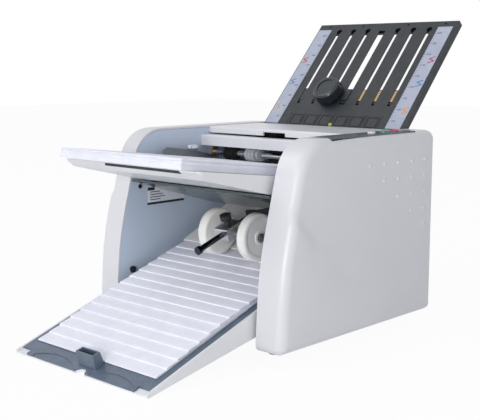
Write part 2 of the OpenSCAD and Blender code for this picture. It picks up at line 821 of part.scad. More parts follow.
// Mains inlet and the rocker switch's bezel in one moulding
rocker_x = inlet_at[0] + 14;
rocker_y = rear_y - 1;
module power_inlet() {
    color("dimgray") in_frame() difference() {
        union() {
            span([inlet_at[0] - 24, rear_y - 17, inlet_at[1] - 12],
                [inlet_at[0] + 24, rear_y, inlet_at[1] + 12]);
            span([inlet_at[0] - 26, rear_y + 0.2, inlet_at[1] - 14],
                [inlet_at[0] + 26, rear_y + 2.2, inlet_at[1] + 14]);
            span([inlet_at[0] - 24, rear_y - 1, inlet_at[1] - 12],
                [inlet_at[0] + 24, rear_y + 1, inlet_at[1] + 12]);
        }
        difference() {
            span([inlet_at[0] - 20, rear_y - 14, inlet_at[1] - 8],
                [inlet_at[0] + 2, rear_y + 5, inlet_at[1] + 8]);
            for (p = [[-15, -2], [-9, 3], [-3, -2]])
                span([inlet_at[0] + p[0] - 1, rear_y - 15, inlet_at[1] + p[1] - 2],
                    [inlet_at[0] + p[0] + 1, rear_y - 3, inlet_at[1] + p[1] + 2]);
        }
        span([rocker_x - 6.3, rear_y - 14, inlet_at[1] - 9.4],
            [rocker_x + 6.3, rear_y + 5, inlet_at[1] + 9.4]);
        bar(rocker_x - 8, rocker_x + 8, rocker_y - 3, inlet_at[1], 1.5 + run_gap);
    }
}

module power_rocker() {
    color("dimgray") in_frame() translate([0, rocker_y - 3, inlet_at[1]]) {
        slab(rocker_x - 6, rocker_x + 6) polygon([
            [-3, -5], [-3, 5], [3.2, 8.6], [4.2, 8.6], [4.4, 0], [5.8, -8], [3.2, -8.6]]);
        bar(rocker_x - 7.6, rocker_x + 7.6, 0, 0, 1.5);
    }
}

// Dark inlay on the right housing's top
module control_panel() {
    z0 = housing_top - panel_sink;
    color("darkslategray") in_frame() difference() {
        span([inner_x + 2, panel_y0, z0], [inner_x + 33, panel_y1, z0 + panel_t]);
        for (y = button_ys)
            translate([button_x, y, z0 - 1]) cylinder(h = 5, r = button_r + 0.3, $fn = 48);
    }
}

// A button with a collar that hooks under the housing's top
module push_button(y) {
    z1 = housing_top + 2.4;
    in_frame() translate([button_x, y, 0]) rotate_extrude($fn = 48) polygon([
        [0, z1 + 0.3], [button_r - 1.4, z1], [button_r, z1 - 1],
        [button_r, housing_top - shell_t - 0.4], [button_r + 1.2, housing_top - shell_t - 0.4],
        [button_r + 1.2, housing_top - 5], [0, housing_top - 5]]);
}

module white_button() {
    color("white") push_button(button_ys[0]);
}

module green_button() {
    color("limegreen") push_button(button_ys[1]);
}

module red_button() {
    color("crimson") push_button(button_ys[2]);
}

// ---------- Top cover ----------

barrel_r = 5.4;
module cover_hinge_pin() {
    color("silver") in_frame() bar(-span_x, span_x, hinge_at[0], hinge_at[1], hinge_pin_r);
}

module top_cover() {
    t = 2.5;
    half = span_x;
    lip_z = housing_top - 10;
    skirt_z = housing_top - 12;
    color("whitesmoke") in_frame() difference() {
        union() {
            slab(-half, half) polygon(rounded([
                [cover_front_y, lip_z, 0.6], [cover_front_y + t, lip_z, 0.6],
                [cover_front_y + t, cover_top_z - t, 0], [cover_rear_y, cover_top_z - t, 0],
                [cover_rear_y, cover_top_z, 0.8], [cover_front_y, cover_top_z, 2.5]]));
            both_sides() slab(half - t, half) polygon([
                [cover_front_y + 6, skirt_z], [hinge_at[0] - 16, skirt_z],
                [hinge_at[0] - 6, cover_top_z - 1], [cover_front_y + 6, cover_top_z - 1]]);
            both_sides() {
                bar(70, 92, hinge_at[0], hinge_at[1], barrel_r);
                span([70, hinge_at[0] - barrel_r, hinge_at[1]],
                    [92, hinge_at[0], cover_top_z - 1]);
            }
        }
        bar(-half, half, hinge_at[0], hinge_at[1], hinge_pin_r + run_gap);
        // Finger recess in the front lip
        slab(-21, 17) polygon([
            [cover_front_y - 1, lip_z - 1], [cover_front_y + 6, lip_z - 1],
            [cover_front_y + 6, lip_z + 5], [cover_front_y - 1, lip_z + 5]]);
    }
}

// ---------- Upper fold plate ----------

// Places children in the fold plate's own frame: y runs up the plate, z points forward
module on_plate() {
    in_frame() translate([0, plate_foot_y, plate_foot_z]) rotate([plate_angle, 0, 0]) children();
}

plate_low = -68;
front_t = 1.2;
back_t = 3.5;
slot_xs = [for (i = [-3 : 3]) i * slot_pitch];
slot_high = plate_reach - 14.6;
bar_y = slot_high - stop_travel - 22;
slot_low = bar_y - 16;

// Cuts the seven slots through a sheet between z0 and z1
module slot_cuts(z0, z1) {
    for (x = slot_xs) {
        w = x == 0 ? middle_slot_w : slot_w;
        span([x - w / 2, slot_low, z0], [x + w / 2, slot_high, z1]);
        if (x != 0)
            translate([x, slot_high, z0]) cylinder(h = z1 - z0, r = w * 0.9, $fn = 32);
    }
}

module fold_plate_front() {
    rail_w = 9;
    half = plate_w / 2;
    color("dimgray") on_plate() {
        difference() {
            union() {
                span([-half, plate_low, -front_t], [half, plate_reach, 0]);
                both_sides() span([half - rail_w, plate_low, -plate_th],
                    [half, plate_reach, -front_t]);
                span([-half, plate_reach - 9, -plate_th], [half, plate_reach, -front_t]);
            }
            slot_cuts(-plate_th - 1, 1);
            // Short relief slits across the plate's foot
            for (x = slot_xs)
                span([x - 1.2, -2, -0.7], [x + 1.2, 20, 1]);
            for (x = [-102, -40, 40, 102])
                translate([x, plate_reach - 5, -1.6]) cylinder(h = 3, r = 1.6, $fn = 32);
        }
        // Raised frames round the reliefs between the slits
        for (i = [-3 : 2]) translate([(i + 0.5) * slot_pitch, 9, 0]) difference() {
            span([-9.5, -9, 0], [9.5, 9, 0.7]);
            span([-8.3, -7.8, -1], [8.3, 7.8, 2]);
        }
    }
}

// The back sheet has a wide window behind each slot, so that the slots show daylight
window_left = 16.5;
window_right = 3.5;
module fold_plate_back() {
    half = plate_w / 2 - 9.3;
    color("dimgray") on_plate() difference() {
        span([-half, plate_low + 4, -plate_th], [half, plate_reach - 9.3, -plate_th + back_t]);
        for (x = slot_xs)
            span([x - window_left, slot_low + 8, -plate_th - 1],
                [x + window_right, slot_high, -plate_th + back_t + 1]);
    }
}

// Pale strips that carry the fold scale
module scale_strips() {
    half = plate_w / 2;
    color("lightsteelblue") on_plate() {
        span([-half + 2, -1, 0], [-half + 26, slot_high + 3, 0.8]);
        span([half - 28.5, -1, 0], [half - 5, slot_high + 3, 0.8]);
    }
}

// Stop bar between the two sheets, with fingers up through the slots and the knob's stem
knob_x = -slot_pitch;
module paper_stop() {
    gap = 0.35;
    half = plate_w / 2 - 9.8;
    z0 = -plate_th + back_t + gap;
    z1 = -front_t - gap;
    color("dimgray") on_plate() {
        span([-half, bar_y - 12, z0], [half, bar_y + 14, z1]);
        for (x = slot_xs) {
            w = (x == 0 ? middle_slot_w : slot_w) - 2 * gap;
            span([x - w / 2, bar_y - 8, z1], [x + w / 2, bar_y + 12, x == 0 ? 1.2 : -0.6]);
        }
        translate([knob_x, bar_y, z1]) cylinder(h = -z1 + 0.8, r = slot_w / 2 - gap, $fn = 32);
    }
}

module stop_knob() {
    r = knob_d / 2;
    knob_h = 19;
    z0 = 1;
    ribs = 24;
    color("dimgray") on_plate() translate([knob_x, bar_y, 0]) difference() {
        union() {
            translate([0, 0, z0]) rotate_extrude($fn = 96) polygon([
                [0, 0], [r - 6, 0], [r - 6, 2], [r - 1, 2.6], [r, 4], [r - 0.8, knob_h - 2.5],
                [r - 3, knob_h - 0.4], [r - 5, knob_h], [0, knob_h]]);
        }
        for (i = [0 : ribs - 1]) rotate([0, 0, i * 360 / ribs])
            translate([r + 0.6, 0, z0 + 4]) cylinder(h = knob_h, r = 1.5, $fn = 24);
        translate([0, 0, z0 + knob_h - 1.2]) cylinder(h = 3, r = r - 8, $fn = 64);
    }
}

// ---------- Lower fold plate ----------

lower_at = [drive_y + 30.8, 150];
lower_angle = -78;
lower_len = 122;
lower_half = 3.4;
module on_lower_plate() {
    in_frame() translate([0, lower_at[0], lower_at[1]]) rotate([lower_angle, 0, 0]) children();
}

module lower_fold_plate() {
    skin = 1.4;
    color("lightsteelblue") on_lower_plate() difference() {
        union() {
            span([-112, 0, -lower_half], [112, lower_len, lower_half]);
            both_sides() for (y = [8, lower_len - 22])
                span([111, y, -lower_half], [span_x, y + 14, lower_half]);
        }
        span([-110, -1, -lower_half + skin], [110, lower_len - 3, lower_half - skin]);
        for (x = [-80, -40, 0, 40, 80])
            span([x - 3, 24, -lower_half - 1], [x + 3, lower_len - 14, lower_half + 1]);
    }
}

// ---------- Exit tray ----------

// Moulded wedge that carries the deck
module tray_frame() {
    half = tray_w / 2;
    rim = 3;
    deck_t = 2.4;
    foot_lean = tan(10.6);
    front = -tray_reach;
    color("gainsboro") in_frame() difference() {
        union() {
            slab(-half, half) polygon([
                [front, 0], [front, tray_front_h], [deck_end_y, deck_z(deck_end_y)],
                [deck_end_y, deck_z(deck_end_y) - 8], [60, (60 + tray_reach) * foot_lean],
                [front + 2, 0]]);
            both_sides() {
                span([half - 8, 62, base_z + pan_t + seat_gap], [half, 70, deck_z(62) - 9]);
                slab(half - 1, span_x) polygon([
                    [70, deck_z(70) - 10], [100, deck_z(100) - 10],
                    [100, deck_z(100) - 2], [70, deck_z(70) - 2]]);
            }
        }
        // Bed for the deck
        slab(-half + rim, half - rim) polygon([
            [front - 1, deck_z(front - 1) - deck_t], [deck_end_y + 1, deck_z(deck_end_y + 1) - deck_t],
            [deck_end_y + 1, deck_z(deck_end_y + 1) + 9], [front - 1, deck_z(front - 1) + 9]]);
        // Hollow underside between the side walls
        slab(-half + rim + 2, half - rim - 2) polygon([
            [front + 34, -1], [front + 34, deck_z(front + 34) - 6],
            [deck_end_y - 6, deck_z(deck_end_y - 6) - 6], [deck_end_y - 6, -1]]);
        // Finger notch in the front edge
        translate([4, front - 2, -1]) cylinder(h = 20, r = 9, $fn = 64);
    }
}

// Dark deck that lies in the frame, with two shallow finger hollows at its front
module tray_deck() {
    half = tray_w / 2 - 3 - seat_gap;
    deck_t = 2.4 - seat_gap;
    front = -tray_reach;
    color("slategray") in_frame() difference() {
        slab(-half, half) polygon([
            [front + 0.3, deck_z(front) - deck_t], [deck_end_y, deck_z(deck_end_y) - deck_t],
            [deck_end_y, deck_z(deck_end_y)], [front + 0.3, deck_z(front)]]);
        // Front corners where the pale frame shows
        both_sides() translate([half - 18, front - 1, -1]) cube([40, 9, 30]);
        // Arc-shaped finger hollows
        for (s = [-1, 1]) translate([4 + s * 52, front, tray_front_h]) rotate([tray_slope, 0, 0])
            intersection() {
                translate([0, -58, -1]) cylinder(h = 5, r = 72, $fn = 128);
                translate([-36, -2, -1]) cube([72, 20, 5]);
            }
        translate([4, front - 2, -1]) cylinder(h = 30, r = 9 + seat_gap, $fn = 64);
    }
}

// Hollow stop at the middle of the tray's front
stop_x0 = -8;
stop_x1 = 22;
module tray_stop() {
    y0 = -tray_reach + 9;
    d = 13;
    h = 17;
    wall = 1.6;
    color("slategray") in_frame() translate([0, y0, deck_z(y0) + seat_gap / cos(tray_slope)])
        rotate([tray_slope, 0, 0]) difference() {
            slab(stop_x0, stop_x1) polygon([
                [0, 0], [d, 0], [d - 1, h - 1], [1.5, h]]);
            slab(stop_x0 + wall, stop_x1 - wall) polygon([
                [wall, wall], [d - wall, wall], [d - 1 - wall, h + 2], [1.5 + wall, h + 2]]);
        }
}

// Folded sheets: each lies on the one in front of it, one step further up the deck, and the
// last one is still sliding down from the rollers
fan_front = -tray_reach + 23;
fan_pitch = 17;
arrival_y = deck_end_y - 18;
arrival_slope = 26.3;
arrival_t = 1.2;
fan_drop = 1.2;
arrival_rise = (sheets_rise - fan_drop + 3 * seat_gap) / cos(tray_slope)
    + arrival_t * cos(arrival_slope);
module folded_sheets() {
    half = sheet_w / 2;
    sheet_h = 1.7;
    tip = sheets_rise;
    color("white") in_frame() {
        translate([0, arrival_y, deck_z(arrival_y) + arrival_rise]) rotate([arrival_slope, 0, 0])
            span([-half, 0, -arrival_t], [half, folded_l, 0]);
        translate([0, -tray_reach, tray_front_h]) rotate([tray_slope, 0, 0])
            translate([0, (fan_front + tray_reach) / cos(tray_slope), seat_gap])
                slab(-half, half) polygon(concat(
                    [[0, 0]],
                    [[fan_pitch * (folded_count - 1) + 18, 0]],
                    [[fan_pitch * (folded_count - 1) + 18, tip - fan_drop]],
                    [for (i = [folded_count - 1 : -1 : 0]) each [
                        [fan_pitch * i + 2.2, i == 0 ? 2.6 : min(tip, 2.6 + i * 1.6)],
                        [fan_pitch * i + 0.7, (i == 0 ? 2.6 : min(tip, 2.6 + i * 1.6)) - 0.6],
                        [fan_pitch * i, (i == 0 ? 2.6 : min(tip, 2.6 + i * 1.6)) - sheet_h]]]));
    }
}

// ---------- Stacking wheels ----------

// Places children at the wheels' axle, turned to the rail's slope: y runs up the rail
module on_rail() {
    in_frame() translate([carriage_x, wheel_y, wheel_z]) rotate([tray_slope, 0, 0]) children();
}

// A round bar along Y between y0 and y1 at (x, z)
module rail_bar(x, z, y0, y1, r) {
    translate([x, y0, z]) rotate([-90, 0, 0]) cylinder(h = y1 - y0, r = r, $fn = 48);
}

module wheel_rail() {
    color("silver") on_rail() {
        rail_bar(0, rail_above_axle, -rail_front, rail_back, rail_r);
        rail_bar(0, rail_above_axle, -rail_front - 5, -rail_front, rail_r + 1.6);
    }
}

// Black bracket that carries the rail's back end from the right side plate
bracket_y = wheel_r + 1.5;
module rail_bracket() {
    t = 4;
    reach = inner_x - carriage_x - seat_gap;
    low = rail_above_axle - 9;
    top = 24;
    color("dimgray") on_rail() difference() {
        union() {
            translate([0, bracket_y, 0]) rotate([90, 0, 0]) mirror([0, 0, 1]) linear_extrude(t)
                polygon([[-8, low], [reach, low - 16], [reach, top], [34, top],
                    [10, rail_above_axle + 8], [-8, rail_above_axle + 6]]);
            span([reach - 3, bracket_y - 12, low - 16], [reach, bracket_y + t, top]);
        }
        rail_bar(0, rail_above_axle, bracket_y - 5, bracket_y + t + 5, rail_r + 0.02);
    }
}

// Clamp block on the rail, with the wheels' axle through its foot
clamp_half = 11;
axle_half = wheel_offset + wheel_w / 2 + seat_gap;
module wheel_clamp() {
    y0 = -clamp_reach;
    y1 = 5;
    color("lightgray") on_rail() {
        difference() {
            slab(-clamp_half, clamp_half) polygon(rounded([
                [y0, rail_above_axle - 8, 2], [-7, rail_above_axle - 8, 1], [-5, -5.5, 2],
                [y1, -5.5, 2], [y1, rail_above_axle + 8, 2], [y0, rail_above_axle + 8, 2]]));
            rail_bar(0, rail_above_axle, y0 - 1, y1 + 1, rail_r + run_gap);
            translate([0, -11, rail_above_axle]) cylinder(h = 20, r = 2.5 + run_gap, $fn = 32);
        }
        bar(-axle_half, axle_half, 0, 0, axle_r);
        both_sides() bar(clamp_half, wheel_offset - wheel_w / 2 - seat_gap, 0, 0, axle_r + 3);
        both_sides() bar(axle_half, axle_half + 3, 0, 0, axle_r + 2.2);
    }
}

module clamp_screw() {
    head_r = 7;
    head_h = 7;
    ribs = 20;
    z0 = rail_above_axle + rail_r + 0.3;
    color("dimgray") on_rail() translate([0, -11, 0]) difference() {
        union() {
            translate([0, 0, z0]) cylinder(h = 18, r = 2.5, $fn = 32);
            translate([0, 0, rail_above_axle + 9.5]) cylinder(h = 6, r = 4, $fn = 48);
            translate([0, 0, rail_above_axle + 15]) cylinder(h = head_h, r = head_r, $fn = 64);
        }
        for (i = [0 : ribs - 1]) rotate([0, 0, i * 360 / ribs])
            translate([head_r + 0.35, 0, rail_above_axle + 14])
                cylinder(h = head_h + 3, r = 0.8, $fn = 16);
    }
}

// A stacking wheel with a soft rim and a dished hub on its outer side
module stacking_wheel(x) {
    w = wheel_w / 2;
    r = wheel_r;
    s = sign(x);
    color("ivory") on_rail() translate([x, 0, 0]) mirror([s < 0 ? 1 : 0, 0, 0])
        rotate([0, 90, 0]) rotate_extrude($fn = 120) polygon([
            [axle_r + run_gap, -w], [r - 3, -w], [r - 1.2, -w + 0.8], [r - 0.2, -w + 2.6],
            [r, 0], [r - 0.2, w - 2.6], [r - 1.2, w - 0.8], [r - 3, w], [r - 6, w],
            [r - 8, w - 0.9], [axle_r + 6, w - 0.9], [axle_r + 5, w], [axle_r + run_gap, w]]);
}

module left_wheel() {
    stacking_wheel(-wheel_offset);
}

module right_wheel() {
    stacking_wheel(wheel_offset);
}

left_housing();
right_housing();
left_side_plate();
right_side_plate();
base_plate();
rubber_feet();
rear_cover();
tie_rods();
front_cross_cover();
ribbed_guide();
exit_guide();
exit_chute();
infeed_table();
infeed_paper();
separator_pad();
bearing_bushes();
motor();
drive_belt();
feed_belt();
circuit_board();
button_board();
power_inlet();
control_panel();
tray_frame();
tray_deck();
tray_stop();
folded_sheets();
wheel_rail();
rail_bracket();
fold_plate_front();
fold_plate_back();
scale_strips();
lower_fold_plate();
frame_screws();
cover_hinge_pin();
top_cover();
white_button();
green_button();
red_button();
power_rocker();
feed_shaft();
feed_wheel();
feed_tyre();
fold_roller_1();
fold_roller_2();
fold_roller_3();
fold_roller_4();
roller_gears_1();
drive_gear();
roller_gears_3();
roller_gears_4();
motor_pulley();
left_guide();
right_guide();
wheel_clamp();
clamp_screw();
left_wheel();
right_wheel();
paper_stop();
stop_knob();
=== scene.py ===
import bmesh
import bpy
import math
from mathutils import Matrix, Vector


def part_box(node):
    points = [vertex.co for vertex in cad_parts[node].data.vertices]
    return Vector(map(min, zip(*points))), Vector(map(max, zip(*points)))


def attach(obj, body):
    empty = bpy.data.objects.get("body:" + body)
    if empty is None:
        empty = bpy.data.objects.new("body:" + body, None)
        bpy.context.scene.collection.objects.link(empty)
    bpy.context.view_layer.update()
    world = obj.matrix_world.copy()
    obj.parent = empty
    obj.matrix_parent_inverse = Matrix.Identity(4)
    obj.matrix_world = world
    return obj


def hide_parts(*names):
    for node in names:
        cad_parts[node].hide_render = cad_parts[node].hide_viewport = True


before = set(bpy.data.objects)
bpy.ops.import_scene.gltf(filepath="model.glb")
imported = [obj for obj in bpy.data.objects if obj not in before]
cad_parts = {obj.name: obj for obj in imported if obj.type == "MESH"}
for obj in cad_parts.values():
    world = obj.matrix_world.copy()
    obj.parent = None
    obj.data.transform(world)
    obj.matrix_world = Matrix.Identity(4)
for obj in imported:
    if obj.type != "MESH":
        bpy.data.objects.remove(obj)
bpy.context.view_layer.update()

# ---- Camera, light and floor ----
# The machine stands on a plain white sweep. The eye is ahead of it on its right, a little above
# the fold plate's middle. Three soft lamps, one low before its mouth, leave only a faint shadow.

bpy.context.scene.view_settings.view_transform = "Standard"

eye = bpy.data.cameras.new("eye")
eye.sensor_fit = "HORIZONTAL"
eye.sensor_width = 36.0
eye.lens = 72.49
eye.clip_end = 20.0
eye_object = bpy.data.objects.new("eye", eye)
bpy.context.scene.collection.objects.link(eye_object)
eye_place = Vector((0.8348, -0.9156, 0.3378))
eye_right = Vector((0.7277, 0.6859, 0.0))
eye_ahead = Vector((-0.6782, 0.7196, -0.1492))
eye_up = eye_right.cross(eye_ahead)
eye_turn = Matrix((eye_right, eye_up, -eye_ahead)).transposed()
eye_object.matrix_world = Matrix.Translation(eye_place) @ eye_turn.to_4x4()
bpy.context.scene.camera = eye_object

world = bpy.data.worlds.new("studio")
bpy.context.scene.world = world
world.use_nodes = True
air = world.node_tree
air.nodes["Background"].inputs["Color"].default_value = (0.93, 0.95, 1.0, 1.0)
air.nodes["Background"].inputs["Strength"].default_value = 0.54
white_air = air.nodes.new("ShaderNodeBackground")
white_air.inputs["Color"].default_value = (1.0, 1.0, 1.0, 1.0)
white_air.inputs["Strength"].default_value = 1.0


def seen_rays(tree):
    """Gives 1 for rays from the camera, mirrors and glass, and 0 for the light on the object"""
    path = tree.nodes.new("ShaderNodeLightPath")
    either = tree.nodes.new("ShaderNodeMath")
    either.operation = "MAXIMUM"
    tree.links.new(path.outputs["Is Camera Ray"], either.inputs[0])
    tree.links.new(path.outputs["Is Glossy Ray"], either.inputs[1])
    any_ray = tree.nodes.new("ShaderNodeMath")
    any_ray.operation = "MAXIMUM"
    tree.links.new(either.outputs[0], any_ray.inputs[0])
    tree.links.new(path.outputs["Is Transmission Ray"], any_ray.inputs[1])
    return any_ray.outputs[0]


air_mix = air.nodes.new("ShaderNodeMixShader")
air.links.new(seen_rays(air), air_mix.inputs[0])
air.links.new(air.nodes["Background"].outputs[0], air_mix.inputs[1])
air.links.new(white_air.outputs[0], air_mix.inputs[2])
air.links.new(air_mix.outputs[0], air.nodes["World Output"].inputs["Surface"])


def soft_lamp(name, place, aim, size, power):
    """A large square lamp at place that shines towards aim"""
    lamp = bpy.data.lights.new(name, "AREA")
    lamp.size = size
    lamp.energy = power
    lamp_object = bpy.data.objects.new(name, lamp)
    bpy.context.scene.collection.objects.link(lamp_object)
    way = (Vector(aim) - Vector(place)).to_track_quat("-Z", "Y")
    lamp_object.matrix_world = Matrix.Translation(place) @ way.to_matrix().to_4x4()


soft_lamp("key_lamp", (-1.1, -1.3, 2.0), (0.0, 0.0, 0.15), 1.4, 15.0)
soft_lamp("fill_lamp", (1.9, -0.9, 0.9), (0.1, 0.0, 0.15), 1.2, 3.0)
soft_lamp("mouth_lamp", (0.75, -1.7, 0.40), (-0.05, 0.0, 0.12), 0.6, 13.0)

floor_mesh = bpy.data.meshes.new("floor")
floor_half = 6.0
floor_mesh.from_pydata(
    [(-floor_half, -floor_half, 0), (floor_half, -floor_half, 0),
     (floor_half, floor_half, 0), (-floor_half, floor_half, 0)], [], [(0, 1, 2, 3)])
floor = bpy.data.objects.new("floor", floor_mesh)
bpy.context.scene.collection.objects.link(floor)
floor_finish = bpy.data.materials.new("floor_finish")
floor_finish.use_nodes = True
sweep = floor_finish.node_tree
sweep.nodes["Principled BSDF"].inputs["Base Color"].default_value = (0.86, 0.86, 0.87, 1.0)
sweep.nodes["Principled BSDF"].inputs["Roughness"].default_value = 0.9
sweep_glow = sweep.nodes.new("ShaderNodeEmission")
sweep_glow.inputs["Strength"].default_value = 1.0
sweep_share = sweep.nodes.new("ShaderNodeMath")
sweep_share.operation = "MULTIPLY"
sweep_share.inputs[1].default_value = 0.95
sweep.links.new(seen_rays(sweep), sweep_share.inputs[0])
sweep_mix = sweep.nodes.new("ShaderNodeMixShader")
sweep.links.new(sweep_share.outputs[0], sweep_mix.inputs[0])
sweep.links.new(sweep.nodes["Principled BSDF"].outputs[0], sweep_mix.inputs[1])
sweep.links.new(sweep_glow.outputs[0], sweep_mix.inputs[2])
sweep.links.new(sweep_mix.outputs[0], sweep.nodes["Material Output"].inputs["Surface"])
floor_mesh.materials.append(floor_finish)

# ---- Side housings ----
# Two tall ABS mouldings, satin grey-white, that close the machine on each side. Each is one shell
# with a broad soft brow, a crowned outer face with a swept relief, and a rim against the steel
# side plate. Small domes are moulded in the right one's upper rear corner.


def shade(red, green, blue):
    """A colour as it looks on a screen, 0 to 255, in the linear values that a shader takes"""
    def linear(v):
        v = v / 255.0
        return v / 12.92 if v <= 0.04045 else ((v + 0.055) / 1.055) ** 2.4
    return (linear(red), linear(green), linear(blue), 1.0)


def start_finish(name, colour, roughness, metallic=0.0, coat=0.0):
    """A material with its tree, its shader and the piece's own coordinates in metres"""
    material = bpy.data.materials.new(name)
    material.use_nodes = True
    tree = material.node_tree
    shader = tree.nodes["Principled BSDF"]
    shader.inputs["Base Color"].default_value = colour
    shader.inputs["Roughness"].default_value = roughness
    shader.inputs["Metallic"].default_value = metallic
    shader.inputs["Coat Weight"].default_value = coat
    place = tree.nodes.new("ShaderNodeTexCoord").outputs["Object"]
    return material, tree, shader, place


def mottle(tree, place, shader, light, dark, scale, detail=3.0):
    """Lets the colour drift between two near shades, as a moulding or a coat does"""
    cloud = tree.nodes.new("ShaderNodeTexNoise")
    cloud.inputs["Scale"].default_value = scale
    cloud.inputs["Detail"].default_value = detail
    tree.links.new(place, cloud.inputs["Vector"])
    ramp = tree.nodes.new("ShaderNodeValToRGB")
    ramp.color_ramp.elements[0].position = 0.35
    ramp.color_ramp.elements[0].color = dark
    ramp.color_ramp.elements[1].position = 0.65
    ramp.color_ramp.elements[1].color = light
    tree.links.new(cloud.outputs["Fac"], ramp.inputs["Fac"])
    tree.links.new(ramp.outputs["Color"], shader.inputs["Base Color"])
    return ramp


def vary_gloss(tree, place, shader, low, high, scale):
    """Roughness that wanders between two values, as handling leaves it"""
    cloud = tree.nodes.new("ShaderNodeTexNoise")
    cloud.inputs["Scale"].default_value = scale
    cloud.inputs["Detail"].default_value = 5.0
    tree.links.new(place, cloud.inputs["Vector"])
    span = tree.nodes.new("ShaderNodeMapRange")
    span.inputs["From Min"].default_value = 0.3
    span.inputs["From Max"].default_value = 0.7
    span.inputs["To Min"].default_value = low
    span.inputs["To Max"].default_value = high
    tree.links.new(cloud.outputs["Fac"], span.inputs["Value"])
    tree.links.new(span.outputs["Result"], shader.inputs["Roughness"])


def grain(tree, place, shader, scale, depth, detail=2.0):
    """Fine bumps over the surface, depth in metres"""
    noise = tree.nodes.new("ShaderNodeTexNoise")
    noise.inputs["Scale"].default_value = scale
    noise.inputs["Detail"].default_value = detail
    tree.links.new(place, noise.inputs["Vector"])
    bump = tree.nodes.new("ShaderNodeBump")
    bump.inputs["Strength"].default_value = 0.6
    bump.inputs["Distance"].default_value = depth
    tree.links.new(noise.outputs["Fac"], bump.inputs["Height"])
    tree.links.new(bump.outputs["Normal"], shader.inputs["Normal"])


def moulded_white(name, light, dark):
    """Satin ABS with a spark-eroded grain so fine that it only softens the gloss"""
    material, tree, shader, place = start_finish(name, light, 0.34)
    shader.inputs["Specular IOR Level"].default_value = 0.5
    mottle(tree, place, shader, light, dark, 9.0)
    vary_gloss(tree, place, shader, 0.28, 0.38, 60.0)
    grain(tree, place, shader, 2600.0, 0.00003)
    return material


def dress(material, *names):
    """Gives CAD nodes their finish"""
    for name in names:
        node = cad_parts[name]
        if not node.material_slots:
            node.data.materials.append(material)
        for place in node.material_slots:
            place.material = material


def new_piece(name, mesh, body, *materials):
    """Puts a mesh in the scene as a piece that rides on a body"""
    piece = bpy.data.objects.new(name, mesh)
    bpy.context.scene.collection.objects.link(piece)
    for material in materials:
        mesh.materials.append(material)
    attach(piece, body)
    return piece


housing_white = moulded_white("housing_white", shade(216, 216, 219), shade(212, 212, 216))

right_low, right_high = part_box("right_housing")
skin_t = 0.0025
edge_round = 0.012
flank_set = 0.0025
face_crown = 0.0011
relief_depth = 0.0036
relief_reach = 0.11
relief_top = 0.170
relief_drop = 0.110
relief_band = 0.014
foot_z = right_low.z - 0.0006
rear_y = right_high.y
top_z = right_high.z
front_foot_y = rear_y - 0.302
foot_line = [front_foot_y - 0.0024, foot_z, 0.008]
side_corners = [
    foot_line,
    [rear_y, foot_z, 0.008],
    [rear_y, top_z, 0.012],
    [front_foot_y + 0.0413, top_z, 0.048],
    [front_foot_y + 0.0036, foot_z + 0.0966, 0.350]]


def corner_facts(a, b, c):
    """Directions out of corner b, half its angle and its middle line"""
    to_a = (Vector(a[:2]) - Vector(b[:2])).normalized()
    to_c = (Vector(c[:2]) - Vector(b[:2])).normalized()
    half = math.acos(max(-1.0, min(1.0, to_a.dot(to_c)))) / 2
    return to_a, half, (to_a + to_c).normalized()


def inset_corners(corners, inset):
    """The corners moved inwards, each radius less by the same amount"""
    moved = []
    for i, b in enumerate(corners):
        _, half, middle = corner_facts(corners[i - 1], b, corners[(i + 1) % len(corners)])
        spot = Vector(b[:2]) + middle * inset / math.sin(half)
        moved.append([spot.x, spot.y, max(b[2] - inset, 0.0008)])
    return moved


def rounded_outline(corners, arc_step, straight_pieces):
    """Points of the outline, its corners as arcs and its straights in equal parts"""
    points = []
    for i, b in enumerate(corners):
        to_a, half, middle = corner_facts(corners[i - 1], b, corners[(i + 1) % len(corners)])
        centre = Vector(b[:2]) + middle * b[2] / math.sin(half)
        start = Vector(b[:2]) + to_a * b[2] / math.tan(half) - centre
        turn = math.pi - 2 * half
        steps = max(2, math.ceil(turn / arc_step - 0.01))
        first = math.atan2(start.y, start.x)
        turns = [first + turn * k / steps for k in range(steps + 1)]
        arc = [centre + b[2] * Vector((math.cos(t), math.sin(t))) for t in turns]
        if points:
            last = points[-1]
            points += [last.lerp(arc[0], k / straight_pieces) for k in range(1, straight_pieces)]
        points += arc
    points += [points[-1].lerp(points[0], k / straight_pieces) for k in range(1, straight_pieces)]
    return points


def swept_relief(y, z):
    """How far the face lies back above the swept line, which falls from the front edge"""
    along = (y - (front_foot_y + 0.004)) / relief_reach
    line_z = foot_z + relief_top - (relief_drop * along ** 0.86 if along > 0 else 0.0)
    above = max(0.0, min(1.0, (z - line_z) / relief_band))
    above = above * above * (3 - 2 * above)
    fade = max(0.0, min(1.0, 1.15 - along * 0.72))
    fade = fade * fade * (3 - 2 * fade)
    return relief_depth * above * fade


def housing_rings(wall):
    """Rings from the rim to the face's middle: x and inset"""
    inner = right_low.x
    flank = right_high.x - flank_set - wall
    radius = edge_round - wall
    rings = [(inner, wall)]
    rings += [(inner + (flank - radius - inner) * k / 4, wall) for k in (1, 2, 3)]
    steps = 10
    for k in range(steps + 1):
        turn = math.pi / 2 * k / steps
        rings.append((flank - radius + radius * math.sin(turn), wall + radius * (1 - math.cos(turn))))
    crown_reach = 0.044
    for k in range(1, 17):
        rise = math.sin(math.pi / 2 * k / 16)
        rings.append((flank + face_crown * rise, wall + radius + crown_reach * k / 16))
    return rings


panel_low, panel_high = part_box("control_panel")
inlay_gap = 0.0003


